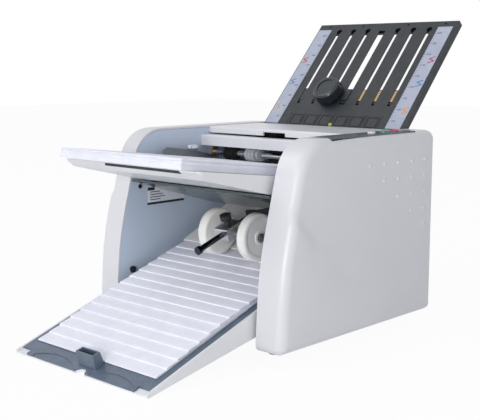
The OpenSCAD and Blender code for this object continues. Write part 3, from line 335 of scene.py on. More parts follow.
def open_for_panel(form):
    """Cuts the control panel's window through both skins of the top and walls it in"""
    brow_z = top_z - 0.012
    skins_z = top_z - 0.009
    edges_at = [(0, panel_low.x - inlay_gap, -1), (0, panel_high.x + inlay_gap, 1),
                (1, panel_low.y - inlay_gap, -1), (1, panel_high.y + inlay_gap, 1)]
    for axis, spot, _ in edges_at:
        near = [f for f in form.faces if min(v.co.z for v in f.verts) > brow_z]
        cut = set(near)
        for f in near:
            cut.update(f.verts)
            cut.update(f.edges)
        way = Vector((0.0, 0.0, 0.0))
        way[axis] = 1.0
        bmesh.ops.bisect_plane(form, geom=list(cut), dist=0.000001, plane_co=way * spot, plane_no=way)
    inside = []
    for f in form.faces:
        middle = f.calc_center_median()
        within = all((middle[axis] - spot) * side < 0 for axis, spot, side in edges_at)
        if within and middle.z > skins_z:
            inside.append(f)
    bmesh.ops.delete(form, geom=inside, context="FACES")
    bmesh.ops.bridge_loops(form, edges=[e for e in form.edges if e.is_boundary])


def housing_mesh(name, hand):
    """The moulded shell: outer skin, rim and inner skin in one closed mesh"""
    arc_step = math.radians(5)
    face_rings = 12
    form = bmesh.new()
    loops = []
    for wall, order in ((0.0, -1), (skin_t, 1)):
        outlines = [(x, rounded_outline(inset_corners(side_corners, inset), arc_step, 10))
                    for x, inset in housing_rings(wall)]
        x, middle_line = outlines[-1]
        middle = sum(middle_line, Vector((0, 0))) / len(middle_line)
        outlines += [(x, [spot.lerp(middle, k / face_rings) for spot in middle_line])
                     for k in range(1, face_rings)]
        side = []
        for x, outline in outlines:
            bend = max(0.0, min(1.0, (x - right_low.x - 0.012) / 0.016))
            side.append([
                form.verts.new((hand * (x - swept_relief(spot.x, spot.y) * bend), spot.x, spot.y))
                for spot in outline])
        loops += side[::order]
    count = len(loops[0])
    for a, b in zip(loops, loops[1:]):
        for i in range(count):
            j = (i + 1) % count
            form.faces.new((a[i], a[j], b[j], b[i]))
    form.faces.new(loops[0])
    form.faces.new(list(reversed(loops[-1])))
    bmesh.ops.recalc_face_normals(form, faces=form.faces)
    foot = bmesh.ops.bisect_plane(
        form, geom=form.verts[:] + form.edges[:] + form.faces[:], dist=0.000001,
        plane_co=(0, 0, right_low.z), plane_no=(0, 0, -1), clear_outer=True)
    bmesh.ops.holes_fill(form, edges=[e for e in foot["geom_cut"] if isinstance(e, bmesh.types.BMEdge)])
    if hand > 0:
        open_for_panel(form)
        bmesh.ops.recalc_face_normals(form, faces=form.faces)
    mesh = bpy.data.meshes.new(name)
    form.to_mesh(mesh)
    form.free()
    mesh.shade_smooth()
    mesh.set_sharp_from_angle(angle=math.radians(40))
    return mesh


left_shell = new_piece("left_shell", housing_mesh("left_shell", -1), "frame", housing_white)
right_shell = new_piece("right_shell", housing_mesh("right_shell", 1), "frame", housing_white)
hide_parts("left_housing")
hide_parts("right_housing")


def tree_with(name, sizes):
    """A geometry tree with named inputs, and the node that gives them"""
    tree = bpy.data.node_groups.new(name, "GeometryNodeTree")
    tree.interface.new_socket("Geometry", in_out="INPUT", socket_type="NodeSocketGeometry")
    tree.interface.new_socket("Geometry", in_out="OUTPUT", socket_type="NodeSocketGeometry")
    for label, kind in sizes:
        tree.interface.new_socket(label, in_out="INPUT", socket_type=kind)
    return tree, tree.nodes.new("NodeGroupInput"), tree.nodes.new("NodeGroupOutput")


def grow(name, tree, values, start=None):
    """Runs a geometry tree with its values and keeps the result as a plain mesh"""
    seed = bpy.data.objects.new(name, start or bpy.data.meshes.new(name))
    bpy.context.scene.collection.objects.link(seed)
    step = seed.modifiers.new(name, "NODES")
    step.node_group = tree
    for item in tree.interface.items_tree:
        if item.item_type == "SOCKET" and item.in_out == "INPUT" and item.name in values:
            step[item.identifier] = values[item.name]
    seed.update_tag()
    ready = seed.evaluated_get(bpy.context.evaluated_depsgraph_get())
    mesh = bpy.data.meshes.new_from_object(ready)
    mesh.name = name
    bpy.data.objects.remove(seed)
    return mesh


def spread_over(tree, given, result, points, shape, turn=None):
    """Ends a tree: the shape on every point, made real and given its finish"""
    spread = tree.nodes.new("GeometryNodeInstanceOnPoints")
    tree.links.new(points, spread.inputs["Points"])
    tree.links.new(shape, spread.inputs["Instance"])
    if turn:
        tree.links.new(turn, spread.inputs["Rotation"])
    real = tree.nodes.new("GeometryNodeRealizeInstances")
    tree.links.new(spread.outputs["Instances"], real.inputs["Geometry"])
    finish = tree.nodes.new("GeometryNodeSetMaterial")
    tree.links.new(real.outputs["Geometry"], finish.inputs["Geometry"])
    tree.links.new(given.outputs["Finish"], finish.inputs["Material"])
    tree.links.new(finish.outputs["Geometry"], result.inputs["Geometry"])
    return tree


def dome_tree():
    """Low domes on every point of the mesh it is given"""
    tree, given, result = tree_with("domes", [
        ("Dome", "NodeSocketObject"), ("Finish", "NodeSocketMaterial")])
    shape = tree.nodes.new("GeometryNodeObjectInfo")
    tree.links.new(given.outputs["Dome"], shape.inputs["Object"])
    return spread_over(tree, given, result, given.outputs["Geometry"], shape.outputs["Geometry"])


def face_x(y, z):
    """x of the right shell's outer face at a point, found on its mesh"""
    start = Vector((right_high.x + 0.05, y, z))
    hit, spot, _, _ = right_shell.ray_cast(start, Vector((-1, 0, 0)))
    return spot.x if hit else right_high.x - face_crown


dome_r = 0.0030
dome_rise = 0.0014
dome_form = bmesh.new()
rings = []
for k in range(6):
    turn = math.pi / 2 * k / 6
    rings.append([dome_form.verts.new((dome_rise * math.sin(turn) - 0.0001,
                                       dome_r * math.cos(turn) * math.cos(a * math.pi / 12),
                                       dome_r * math.cos(turn) * math.sin(a * math.pi / 12)))
                  for a in range(24)])
for a, b in zip(rings, rings[1:]):
    for i in range(24):
        dome_form.faces.new((a[i], a[(i + 1) % 24], b[(i + 1) % 24], b[i]))
dome_form.faces.new(rings[-1])
dome_form.faces.new(list(reversed(rings[0])))
bmesh.ops.recalc_face_normals(dome_form, faces=dome_form.faces)
dome_mesh = bpy.data.meshes.new("dome")
dome_form.to_mesh(dome_mesh)
dome_form.free()
dome_mesh.shade_smooth()
dome = bpy.data.objects.new("dome", dome_mesh)
bpy.context.scene.collection.objects.link(dome)
dome_columns = [front_foot_y + k for k in (0.156, 0.1855, 0.215, 0.2445, 0.2745)]
dome_rows = [0.218, 0.1975, 0.176, 0.155, 0.135]
dome_spots = [(face_x(y, z), y, z) for row, z in enumerate(dome_rows) for y in dome_columns[row:]]
dome_points = bpy.data.meshes.new("dome_points")
dome_points.from_pydata(dome_spots, [], [])
domes = grow("housing_domes", dome_tree(), {"Dome": dome, "Finish": housing_white}, dome_points)
bpy.data.objects.remove(dome)
housing_domes = new_piece("housing_domes", domes, "frame")

# ---- Chassis ----
# Side plates, base pan, chute and lower fold plate are sheet steel, folded and powder-coated a
# cool blue-grey. The coat has a fine orange peel. Bright cross rods tie the plates together.


def powder_coat(name, light, dark):
    """Powder coat on steel: a little orange peel and an even half gloss"""
    material, tree, shader, place = start_finish(name, light, 0.42)
    mottle(tree, place, shader, light, dark, 6.0)
    vary_gloss(tree, place, shader, 0.36, 0.5, 25.0)
    grain(tree, place, shader, 900.0, 0.00006, 4.0)
    return material


def bright_metal(name, colour, low, high, stretch):
    """Plated or ground metal with faint lines along X"""
    material, tree, shader, place = start_finish(name, colour, low, metallic=1.0)
    draw = tree.nodes.new("ShaderNodeMapping")
    draw.inputs["Scale"].default_value = (stretch, 1.0, 1.0)
    tree.links.new(place, draw.inputs["Vector"])
    vary_gloss(tree, draw.outputs["Vector"], shader, low, high, 700.0)
    return material


plate_blue = powder_coat("plate_blue", shade(197, 209, 225), shade(189, 202, 220))
rod_chrome = bright_metal("rod_chrome", (0.78, 0.79, 0.81, 1.0), 0.10, 0.22, 0.05)
ground_steel = bright_metal("ground_steel", (0.50, 0.51, 0.53, 1.0), 0.28, 0.42, 0.02)
sintered_bronze = bright_metal("sintered_bronze", (0.55, 0.38, 0.20, 1.0), 0.38, 0.5, 1.0)
dress(plate_blue, "left_side_plate", "right_side_plate", "base_plate", "exit_chute", "lower_fold_plate")
dress(rod_chrome, "tie_rods", "cover_hinge_pin", "feed_shaft")
dress(sintered_bronze, "bearing_bushes")

screw_black = start_finish("screw_black", shade(38, 40, 44), 0.35, metallic=0.8)
vary_gloss(screw_black[1], screw_black[3], screw_black[2], 0.28, 0.45, 400.0)
dress(screw_black[0], "frame_screws")


def soft_rubber(name, light, dark):
    """Dull rubber with a fine dusty bloom"""
    material, tree, shader, place = start_finish(name, light, 0.75)
    mottle(tree, place, shader, light, dark, 120.0)
    grain(tree, place, shader, 1800.0, 0.00004)
    return material


foot_rubber = soft_rubber("foot_rubber", shade(52, 52, 54), shade(40, 40, 42))
dress(foot_rubber, "rubber_feet", "drive_belt", "feed_belt")

# A label and a cable clip on the left plate's inner face. The label is pale film with a dark bar
# along its foot, a dark corner and four rules.
wall_x = -right_low.x
label_y0 = front_foot_y + 0.054
label_y1 = front_foot_y + 0.119
label_z0 = 0.1535
label_z1 = 0.1765
label_film = start_finish("label_film", shade(226, 229, 236), 0.4)
mottle(label_film[1], label_film[3], label_film[2], shade(228, 231, 238), shade(221, 224, 232), 30.0)
label_ink = start_finish("label_ink", shade(36, 38, 44), 0.45)
mottle(label_ink[1], label_ink[3], label_ink[2], shade(40, 42, 48), shade(32, 34, 40), 80.0)


def thin_plate(form, low, high, material=0):
    """Adds a small box between two corners to a form"""
    made = bmesh.ops.create_cube(form, size=1.0)["verts"]
    for v in made:
        v.co = Vector([low[k] + (v.co[k] + 0.5) * (high[k] - low[k]) for k in range(3)])
    for f in set(face for v in made for face in v.link_faces):
        f.material_index = material
    return made


def mesh_of(name, form):
    """Turns a finished form into a mesh"""
    mesh = bpy.data.meshes.new(name)
    form.to_mesh(mesh)
    form.free()
    return mesh


label_form = bmesh.new()
thin_plate(label_form, (wall_x, label_y0, label_z0), (wall_x + 0.0002, label_y1, label_z1))
thin_plate(label_form, (wall_x, label_y0 - 0.001, label_z0),
           (wall_x + 0.0003, label_y1, label_z0 + 0.003), 1)
thin_plate(label_form, (wall_x, label_y0, label_z1 - 0.004),
           (wall_x + 0.0003, label_y0 + 0.012, label_z1), 1)
for rule in range(4):
    rule_z = label_z1 - 0.0068 - rule * 0.0034
    thin_plate(label_form, (wall_x, label_y0 + 0.004, rule_z),
               (wall_x + 0.00026, label_y0 + 0.022 + 0.004 * (rule % 3), rule_z + 0.0011), 1)
rating_label = new_piece(
    "rating_label", mesh_of("rating_label", label_form), "frame", label_film[0], label_ink[0])

clip_form = bmesh.new()
clip_spot = Vector((wall_x, front_foot_y + 0.0247, 0.0716))
thin_plate(clip_form, clip_spot + Vector((0, -0.003, -0.004)),
           clip_spot + Vector((0.004, 0.003, 0.004)))
thin_plate(clip_form, clip_spot + Vector((0.001, -0.005, -0.001)),
           clip_spot + Vector((0.0032, 0.005, 0.0012)))
bmesh.ops.bevel(clip_form, geom=clip_form.edges[:], offset=0.0004, segments=2, affect="EDGES")
cable_clip = new_piece("cable_clip", mesh_of("cable_clip", clip_form), "frame", label_ink[0])

# ---- Covers and infeed table ----
# Top cover, front cross cover, rear cover and the infeed table are moulded in the same
# grey-white as the housings, a shade warmer on the table.


def black_moulding(name, light, dark, rough=0.45):
    """Black or grey moulded plastic with a fine leathery grain"""
    material, tree, shader, place = start_finish(name, light, rough)
    mottle(tree, place, shader, light, dark, 60.0)
    vary_gloss(tree, place, shader, rough - 0.06, rough + 0.08, 90.0)
    grain(tree, place, shader, 2200.0, 0.00005, 3.0)
    return material


cover_white = moulded_white("cover_white", shade(222, 223, 226), shade(217, 218, 222))
table_white = moulded_white("table_white", shade(224, 224, 225), shade(219, 219, 221))
dress(cover_white, "top_cover", "front_cross_cover", "rear_cover")
dress(table_white, "infeed_table")

# A dark strip lies in a shallow recess along the table's front lip: painted shade for the dark gap there.
lip_low, lip_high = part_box("infeed_table")
table_lean = math.radians(7)
# Painted shade: this dark strip stands for the shaded gap along the lip.
lip_shade_dark = black_moulding("lip_shade_dark", shade(46, 50, 57), shade(36, 40, 47), 0.5)
lip_form = bmesh.new()
thin_plate(lip_form, (-0.0398, 0.0006, -0.0042), (0.0848, 0.0086, -0.0014))
lip_mesh = mesh_of("lip_strip", lip_form)
lip_place = Matrix.Translation((0.0, lip_low.y, lip_high.z))
lip_mesh.transform(lip_place @ Matrix.Rotation(-table_lean, 4, "X"))
lip_strip = new_piece("lip_strip", lip_mesh, "frame", lip_shade_dark)

# ---- Loaded sheets ----
# A4 office paper in a thin pile, loaded in a few bundles that aren't quite square to each other.
# Each layer here stands for a few sheets, with its own small shift.


def office_paper(name, light, dark):
    """Uncoated paper: faint cloudy fibre, no gloss"""
    material, tree, shader, place = start_finish(name, light, 0.85)
    shader.inputs["Specular IOR Level"].default_value = 0.2
    mottle(tree, place, shader, light, dark, 45.0, 6.0)
    grain(tree, place, shader, 1500.0, 0.00002, 4.0)
    return material


sheet_white = office_paper("sheet_white", shade(236, 237, 244), shade(231, 232, 241))
sheet_w = 0.210
sheet_l = 0.296
pile_t = 0.012
pile_front = Vector((0.0, front_foot_y - 0.098, 0.241))


def reckon(tree, operation, first, second):
    """A sum in a tree, on an output and on an output or a number"""
    made = tree.nodes.new("ShaderNodeMath")
    made.operation = operation
    tree.links.new(first, made.inputs[0])
    if isinstance(second, float):
        made.inputs[1].default_value = second
    else:
        tree.links.new(second, made.inputs[1])
    return made.outputs[0]


def pile_tree():
    """A stack of thin layers that climb from the foot, each shifted a little at random"""
    tree, given, result = tree_with("pile", [
        ("Layers", "NodeSocketInt"), ("Pitch", "NodeSocketFloat"), ("Width", "NodeSocketFloat"),
        ("Length", "NodeSocketFloat"), ("Thickness", "NodeSocketFloat"), ("Shift", "NodeSocketFloat"),
        ("Finish", "NodeSocketMaterial")])
    climb = tree.nodes.new("ShaderNodeCombineXYZ")
    tree.links.new(given.outputs["Pitch"], climb.inputs["Z"])
    line = tree.nodes.new("GeometryNodeMeshLine")
    tree.links.new(given.outputs["Layers"], line.inputs["Count"])
    tree.links.new(climb.outputs["Vector"], line.inputs["Offset"])
    size = tree.nodes.new("ShaderNodeCombineXYZ")
    tree.links.new(given.outputs["Width"], size.inputs["X"])
    tree.links.new(given.outputs["Length"], size.inputs["Y"])
    tree.links.new(given.outputs["Thickness"], size.inputs["Z"])
    layer = tree.nodes.new("GeometryNodeMeshCube")
    tree.links.new(size.outputs["Vector"], layer.inputs["Size"])
    low = tree.nodes.new("ShaderNodeCombineXYZ")
    high = tree.nodes.new("ShaderNodeCombineXYZ")
    back = reckon(tree, "MULTIPLY", given.outputs["Shift"], -1.0)
    for axis in ("X", "Y"):
        tree.links.new(back, low.inputs[axis])
        tree.links.new(given.outputs["Shift"], high.inputs[axis])
    chance = tree.nodes.new("FunctionNodeRandomValue")
    chance.data_type = "FLOAT_VECTOR"
    chance.inputs["Seed"].default_value = 11
    tree.links.new(low.outputs["Vector"], chance.inputs["Min"])
    tree.links.new(high.outputs["Vector"], chance.inputs["Max"])
    shift = tree.nodes.new("GeometryNodeSetPosition")
    tree.links.new(line.outputs["Mesh"], shift.inputs["Geometry"])
    tree.links.new(chance.outputs["Value"], shift.inputs["Offset"])
    return spread_over(tree, given, result, shift.outputs["Geometry"], layer.outputs["Mesh"])


layer_count = 20
layer_pitch = pile_t / layer_count
pile_mesh = grow("loaded_pile", pile_tree(), {
    "Layers": layer_count, "Pitch": layer_pitch, "Width": sheet_w - 0.0014, "Length": sheet_l - 0.001,
    "Thickness": layer_pitch * 0.93, "Shift": 0.0005, "Finish": sheet_white})
bundles = [(0.0, 0.42, -0.0001, 0.0), (0.42, 0.72, -0.0006, 0.0009), (0.72, 1.0, 0.0005, 0.0002)]
for v in pile_mesh.vertices:
    share = (v.co.z / pile_t) + 0.02
    for low_share, high_share, side, back in bundles:
        if low_share <= share < high_share + 0.03:
            v.co.x += side
            v.co.y += back
            break
lean = Matrix.Rotation(-table_lean, 4, "X")
pile_mesh.transform(Matrix.Translation(pile_front) @ lean
                    @ Matrix.Translation((0, sheet_l / 2 + 0.0005, -pile_t + layer_pitch / 2)))
loaded_pile = new_piece("loaded_pile", pile_mesh, "frame")
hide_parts("infeed_paper")

# ---- Guides, feed and rollers ----
# The pile's side guides are zinc-plated steel with a white lock. The feed shaft is bright steel
# with a grey-white feed wheel, a thin disc and a black tyre, before a black ribbed wall.

guide_zinc = bright_metal("guide_zinc", (0.34, 0.35, 0.38, 1.0), 0.25, 0.4, 1.0)
dress(guide_zinc, "left_guide", "right_guide")
lock_white = moulded_white("lock_white", shade(232, 233, 235), shade(226, 227, 230))
for guide, body, hand in (("left_guide", "guide_left", -1), ("right_guide", "guide_right", 1)):
    guide_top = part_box(guide)[1].z
    cap_form = bmesh.new()
    cap_x = sorted((hand * 0.1028, hand * 0.1102))
    thin_plate(cap_form, (cap_x[0], front_foot_y + 0.1158, guide_top - 0.0048),
               (cap_x[1], front_foot_y + 0.1282, guide_top + 0.0002))
    bmesh.ops.bevel(cap_form, geom=cap_form.edges[:], offset=0.0006, segments=3, affect="EDGES")
    guide_lock = new_piece(guide + "_lock", mesh_of(guide + "_lock", cap_form), body, lock_white)

black_plastic = black_moulding("black_plastic", shade(40, 43, 48), shade(32, 35, 40))
dress(black_plastic, "ribbed_guide", "power_inlet", "power_rocker")
feed_grey = soft_rubber("feed_grey", shade(218, 220, 224), shade(206, 208, 213))
tyre_black = soft_rubber("tyre_black", shade(34, 35, 38), shade(26, 27, 30))
cork_pad = soft_rubber("cork_pad", shade(140, 92, 60), shade(112, 70, 44))
dress(feed_grey, "feed_wheel")
dress(tyre_black, "feed_tyre")
dress(cork_pad, "separator_pad")
dress(ground_steel, "fold_roller_1", "fold_roller_2", "fold_roller_3", "fold_roller_4")
dress(ground_steel, "motor", "motor_pulley")
gear_nylon = black_moulding("gear_nylon", shade(228, 222, 204), shade(218, 211, 190), 0.4)
dress(gear_nylon, "roller_gears_1", "drive_gear", "roller_gears_3", "roller_gears_4")

# ---- Smoked exit guide ----
# A tinted acrylic plate under the table turns the folded sheets down on to the tray. It is cut
# from sheet, with ears that hang it on the side plates.

smoked = start_finish("smoked_acrylic", shade(92, 108, 112), 0.12)
smoked[2].inputs["Transmission Weight"].default_value = 0.55
smoked[2].inputs["IOR"].default_value = 1.49
vary_gloss(smoked[1], smoked[3], smoked[2], 0.08, 0.2, 60.0)
dress(smoked[0], "exit_guide")

# ---- Boards ----
# Two glass-fibre boards with green lacquer, out of sight. One drives the motor, behind the left
# housing, and one carries the switches under the panel.

board_green = black_moulding("board_green", shade(30, 96, 58), shade(22, 78, 46), 0.35)
dress(board_green, "circuit_board", "button_board")

# ---- Control panel and buttons ----
# A dark film inlay on the right shell's top, with three round gloss buttons that come up through
# it: white, green and red.

panel_film = black_moulding("panel_film", shade(84, 94, 104), shade(72, 82, 92), 0.25)
dress(panel_film, "control_panel")


def gloss_button(name, light, dark):
    """Gloss acrylic key, slightly worn on its crown"""
    material, tree, shader, place = start_finish(name, light, 0.15, coat=0.4)
    shader.inputs["Coat Roughness"].default_value = 0.08
    mottle(tree, place, shader, light, dark, 300.0)
    vary_gloss(tree, place, shader, 0.1, 0.25, 900.0)
    return material


dress(gloss_button("key_white", shade(232, 234, 236), shade(222, 225, 228)), "white_button")
dress(gloss_button("key_green", shade(70, 150, 110), shade(58, 136, 98)), "green_button")
dress(gloss_button("key_red", shade(196, 44, 62), shade(178, 34, 52)), "red_button")

# ---- Upper fold plate ----
# Two anthracite mouldings with seven slots between them, pale scale strips on both sides, and a
# stop that slides inside with a round grey knob.

anthracite = black_moulding("anthracite", shade(34, 39, 45), shade(28, 33, 39), 0.5)
plate_dark = black_moulding("plate_dark", shade(44, 49, 56), shade(36, 41, 48), 0.5)
dress(anthracite, "fold_plate_front", "fold_plate_back")
dress(plate_dark, "paper_stop")
knob_grey = black_moulding("knob_grey", shade(40, 46, 52), shade(33, 39, 45), 0.26)
dress(knob_grey, "stop_knob")
strip_pale = shade(176, 182, 199)
strip_film = start_finish("strip_film", strip_pale, 0.35)
mottle(strip_film[1], strip_film[3], strip_film[2], strip_pale, shade(168, 175, 193), 40.0)
dress(strip_film[0], "scale_strips")

# The scale's print: ticks every 5 mm, longer ones with a number every 20 mm, and three small
# marks in red, blue and orange at the usual folds. Each is a thin plate on the strip's film.
plate_lean = math.radians(47.35)
plate_foot = Matrix.Translation((0.0, rear_y - 0.0176, top_z - 0.0004))
plate_turn = plate_foot @ Matrix.Rotation(plate_lean, 4, "X")
strip_top = 0.0008
print_t = 0.00012
print_start = 0.012
tick_pitch = 0.005
number_pitch = 0.020
print_grey = start_finish("print_grey", shade(92, 98, 116), 0.5)
mottle(print_grey[1], print_grey[3], print_grey[2], shade(96, 102, 120), shade(84, 90, 108), 200.0)


def tick_tree():
    """A row of thin bars up the plate, one every pitch"""
    tree, given, result = tree_with("ticks", [
        ("Count", "NodeSocketInt"), ("Pitch", "NodeSocketFloat"), ("Length", "NodeSocketFloat"),
        ("Width", "NodeSocketFloat"), ("Height", "NodeSocketFloat"), ("Finish", "NodeSocketMaterial")])
    climb = tree.nodes.new("ShaderNodeCombineXYZ")
    tree.links.new(given.outputs["Pitch"], climb.inputs["Y"])
    line = tree.nodes.new("GeometryNodeMeshLine")
    tree.links.new(given.outputs["Count"], line.inputs["Count"])
    tree.links.new(climb.outputs["Vector"], line.inputs["Offset"])
    size = tree.nodes.new("ShaderNodeCombineXYZ")
    tree.links.new(given.outputs["Length"], size.inputs["X"])
    tree.links.new(given.outputs["Width"], size.inputs["Y"])
    tree.links.new(given.outputs["Height"], size.inputs["Z"])
    tick = tree.nodes.new("GeometryNodeMeshCube")
    tree.links.new(size.outputs["Vector"], tick.inputs["Size"])
    return spread_over(tree, given, result, line.outputs["Mesh"], tick.outputs["Mesh"])


ticks = tick_tree()
for side, edge_x in (("left", -0.0955), ("right", 0.093)):
    inward = 1 if side == "right" else -1
    for kind, count, pitch, length in (("fine", 33, tick_pitch, 0.0022), ("long", 9, number_pitch, 0.0042)):
        tick_mesh = grow(side + "_" + kind + "_ticks", ticks, {
            "Count": count, "Pitch": pitch, "Length": length, "Width": 0.0004, "Height": print_t,
            "Finish": print_grey[0]})
        tick_place = (edge_x + inward * (0.0008 + length / 2), print_start, strip_top + print_t / 2)
        tick_mesh.transform(plate_turn @ Matrix.Translation(tick_place))
        tick_row = new_piece(side + "_" + kind + "_ticks", tick_mesh, "frame")


def number_mesh(name, digits, size):
    """Digits as a thin mesh, centred on the origin"""
    letters = bpy.data.curves.new(name, "FONT")
    letters.body = digits
    letters.size = size
    letters.extrude = print_t / 2
    letters.align_x = "CENTER"
    letters.align_y = "CENTER"
    letters_object = bpy.data.objects.new(name, letters)
    bpy.context.scene.collection.objects.link(letters_object)
    ready = letters_object.evaluated_get(bpy.context.evaluated_depsgraph_get())
    mesh = bpy.data.meshes.new_from_object(ready)
    bpy.data.objects.remove(letters_object)
    return mesh


for side, number_x in (("left", -0.1030), ("right", 0.1006)):
    joined = bmesh.new()
    for step in range(9):
        number = number_mesh("number", str(40 + 20 * step), 0.0046)
        number_y = print_start + number_pitch * step
        number.transform(Matrix.Translation((number_x, number_y, strip_top + print_t / 2)))
        joined.from_mesh(number)
        bpy.data.meshes.remove(number)
    numbers = mesh_of(side + "_numbers", joined)
    numbers.transform(plate_turn)
    numbers.materials.clear()
    number_row = new_piece(side + "_numbers", numbers, "frame", print_grey[0])

mark_inks = {"red": shade(178, 44, 84), "blue": shade(52, 120, 190), "orange": shade(214, 140, 44)}
mark_places = {"red": 0.121, "blue": 0.078, "orange": 0.030}


def slanted_bar(form, x, y, half, rise, thick):
    """A thin slanting bar, printed flat on the strip"""
    corners = [(x - half, y - rise), (x + half, y + rise),
               (x + half, y + rise + thick), (x - half, y - rise + thick)]
    low = [form.verts.new((cx, cy, strip_top)) for cx, cy in corners]
    high = [form.verts.new((cx, cy, strip_top + print_t)) for cx, cy in corners]
    form.faces.new(high)
    form.faces.new(list(reversed(low)))
    for k in range(4):
        form.faces.new((low[k], low[(k + 1) % 4], high[(k + 1) % 4], high[k]))


for ink, colour in mark_inks.items():
    ink_finish = start_finish("print_" + ink, colour, 0.45)
    ink_shift = tuple(min(1.0, 1.18 * c) for c in colour[:3]) + (1.0,)
    mottle(ink_finish[1], ink_finish[3], ink_finish[2], ink_shift, colour, 260.0)
    mark_form = bmesh.new()
    for mark_x in (-0.1125, 0.1098):
        for k, (rise, shift) in enumerate(((0.0016, -0.004), (-0.0016, 0.0), (0.0016, 0.004))):
            slanted_bar(mark_form, mark_x, mark_places[ink] + shift, 0.0042, rise, 0.0017)
    fold_marks = mesh_of(ink + "_fold_marks", mark_form)
    fold_marks.transform(plate_turn)
    fold_mark_piece = new_piece(ink + "_fold_marks", fold_marks, "frame", ink_finish[0])

# Dark plates lie in the slits between the raised squares as painted shade, with a yellow-green pointer at
# the middle one, and brass leaves cap the stop's fingers in the three right-hand slots.
# Painted shade: dark plates stand for the shade down in the slits.
slit_shade_black = black_moulding("slit_shade_black", shade(20, 22, 26), shade(14, 16, 20), 0.6)
slit_shade_form = bmesh.new()
slot_pitch = 0.0265
slit_half = 0.0011
for k in range(-3, 4):
    thin_plate(slit_shade_form, (k * slot_pitch - slit_half, -0.0019, -0.0006),
               (k * slot_pitch + slit_half, 0.0199, -0.0002))
slit_liners = mesh_of("slit_liners", slit_shade_form)
slit_liners.transform(plate_turn)
slit_shade_piece = new_piece("slit_liners", slit_liners, "frame", slit_shade_black)

pointer_green = start_finish("pointer_green", shade(186, 192, 74), 0.4)
mottle(pointer_green[1], pointer_green[3], pointer_green[2],
       shade(190, 196, 80), shade(174, 180, 64), 300.0)
pointer_form = bmesh.new()
bmesh.ops.create_cone(
    pointer_form, cap_ends=True, segments=32, radius1=0.0030, radius2=0.0022, depth=0.0014)
pointer_mesh = mesh_of("scale_pointer", pointer_form)
pointer_mesh.transform(plate_turn @ Matrix.Translation((0.0, 0.0012, 0.0007)))
scale_pointer = new_piece("scale_pointer", pointer_mesh, "frame", pointer_green[0])

finger_brass = bright_metal("finger_brass", (0.42, 0.28, 0.14, 1.0), 0.35, 0.5, 1.0)
leaf_form = bmesh.new()
finger_y = 0.054
for k in (1, 2, 3):
    thin_plate(leaf_form, (k * slot_pitch - 0.0019, finger_y - 0.0078, -0.0006),
               (k * slot_pitch + 0.0019, finger_y + 0.0118, -0.0003))
leaf_mesh = mesh_of("finger_leaves", leaf_form)
leaf_mesh.transform(plate_turn)
finger_leaves = new_piece("finger_leaves", leaf_mesh, "stop", finger_brass)

# ---- Exit tray ----
# A pale moulded wedge with a slate-blue deck laid in it, and a hollow stop in the middle of its
# front edge.

tray_pale = moulded_white("tray_pale", shade(226, 227, 229), shade(221, 222, 225))
dress(tray_pale, "tray_frame")
deck_slate = black_moulding("deck_slate", shade(96, 109, 126), shade(86, 99, 116), 0.4)
dress(deck_slate, "tray_deck", "tray_stop")

# ---- Folded sheets ----
# Sheets folded in three lie on the deck like shingles, each on the one before it, with their
# rounded folds to the front.

tray_reach = 0.160
tray_rise = 0.0548
deck_slope = math.atan(tray_rise / tray_reach)
fan_start = 0.023 / math.cos(deck_slope)
fold_length = 0.099
leaf_t = 0.0003


def folded_sheet_mesh():
    """One sheet folded in three: its section along the deck, pulled across the tray"""
    spring = 0.0019
    path = [(fold_length - 0.001, leaf_t), (0.030, leaf_t), (0.012, leaf_t), (0.004, leaf_t * 0.9)]
    for k in range(13):
        turn = math.radians(-90 - 15 * k)
        radius = (spring - leaf_t) / 2
        path.append((0.0012 + radius * math.cos(turn), spring / 2 + radius * math.sin(turn)))
    path += [(0.006, spring * 0.92), (0.014, spring * 0.72), (0.030, 0.0011),
             (fold_length - 0.002, 0.00105)]
    half = 0.105
    columns = 6
    form = bmesh.new()
    rows = []
    for k, (y, z) in enumerate(path):
        before = path[max(k - 1, 0)]
        after = path[min(k + 1, len(path) - 1)]
        way = Vector((after[0] - before[0], after[1] - before[1])).normalized()
        side = Vector((way.y, -way.x)) * leaf_t / 2
        rows.append([[form.verts.new((-half + 2 * half * c / columns, y + s * side.x, z + s * side.y))
                      for c in range(columns + 1)] for s in (1, -1)])
    for a, b in zip(rows, rows[1:]):
        for c in range(columns):
            form.faces.new((a[0][c], a[0][c + 1], b[0][c + 1], b[0][c]))
            form.faces.new((a[1][c + 1], a[1][c], b[1][c], b[1][c + 1]))
        form.faces.new((a[0][0], b[0][0], b[1][0], a[1][0]))
        form.faces.new((a[0][columns], a[1][columns], b[1][columns], b[0][columns]))
    for end, flip in ((rows[0], 1), (rows[-1], -1)):
        for c in range(columns):
            form.faces.new([end[0][c + 1], end[0][c], end[1][c], end[1][c + 1]][::flip])
    thin_plate(form, (-half + 0.0006, 0.0022, 0.00052), (half - 0.0004, fold_length - 0.0015, 0.00078))
    bmesh.ops.recalc_face_normals(form, faces=form.faces)
    mesh = mesh_of("folded_sheet", form)
    mesh.shade_smooth()
    mesh.set_sharp_from_angle(angle=math.radians(50))
    return mesh


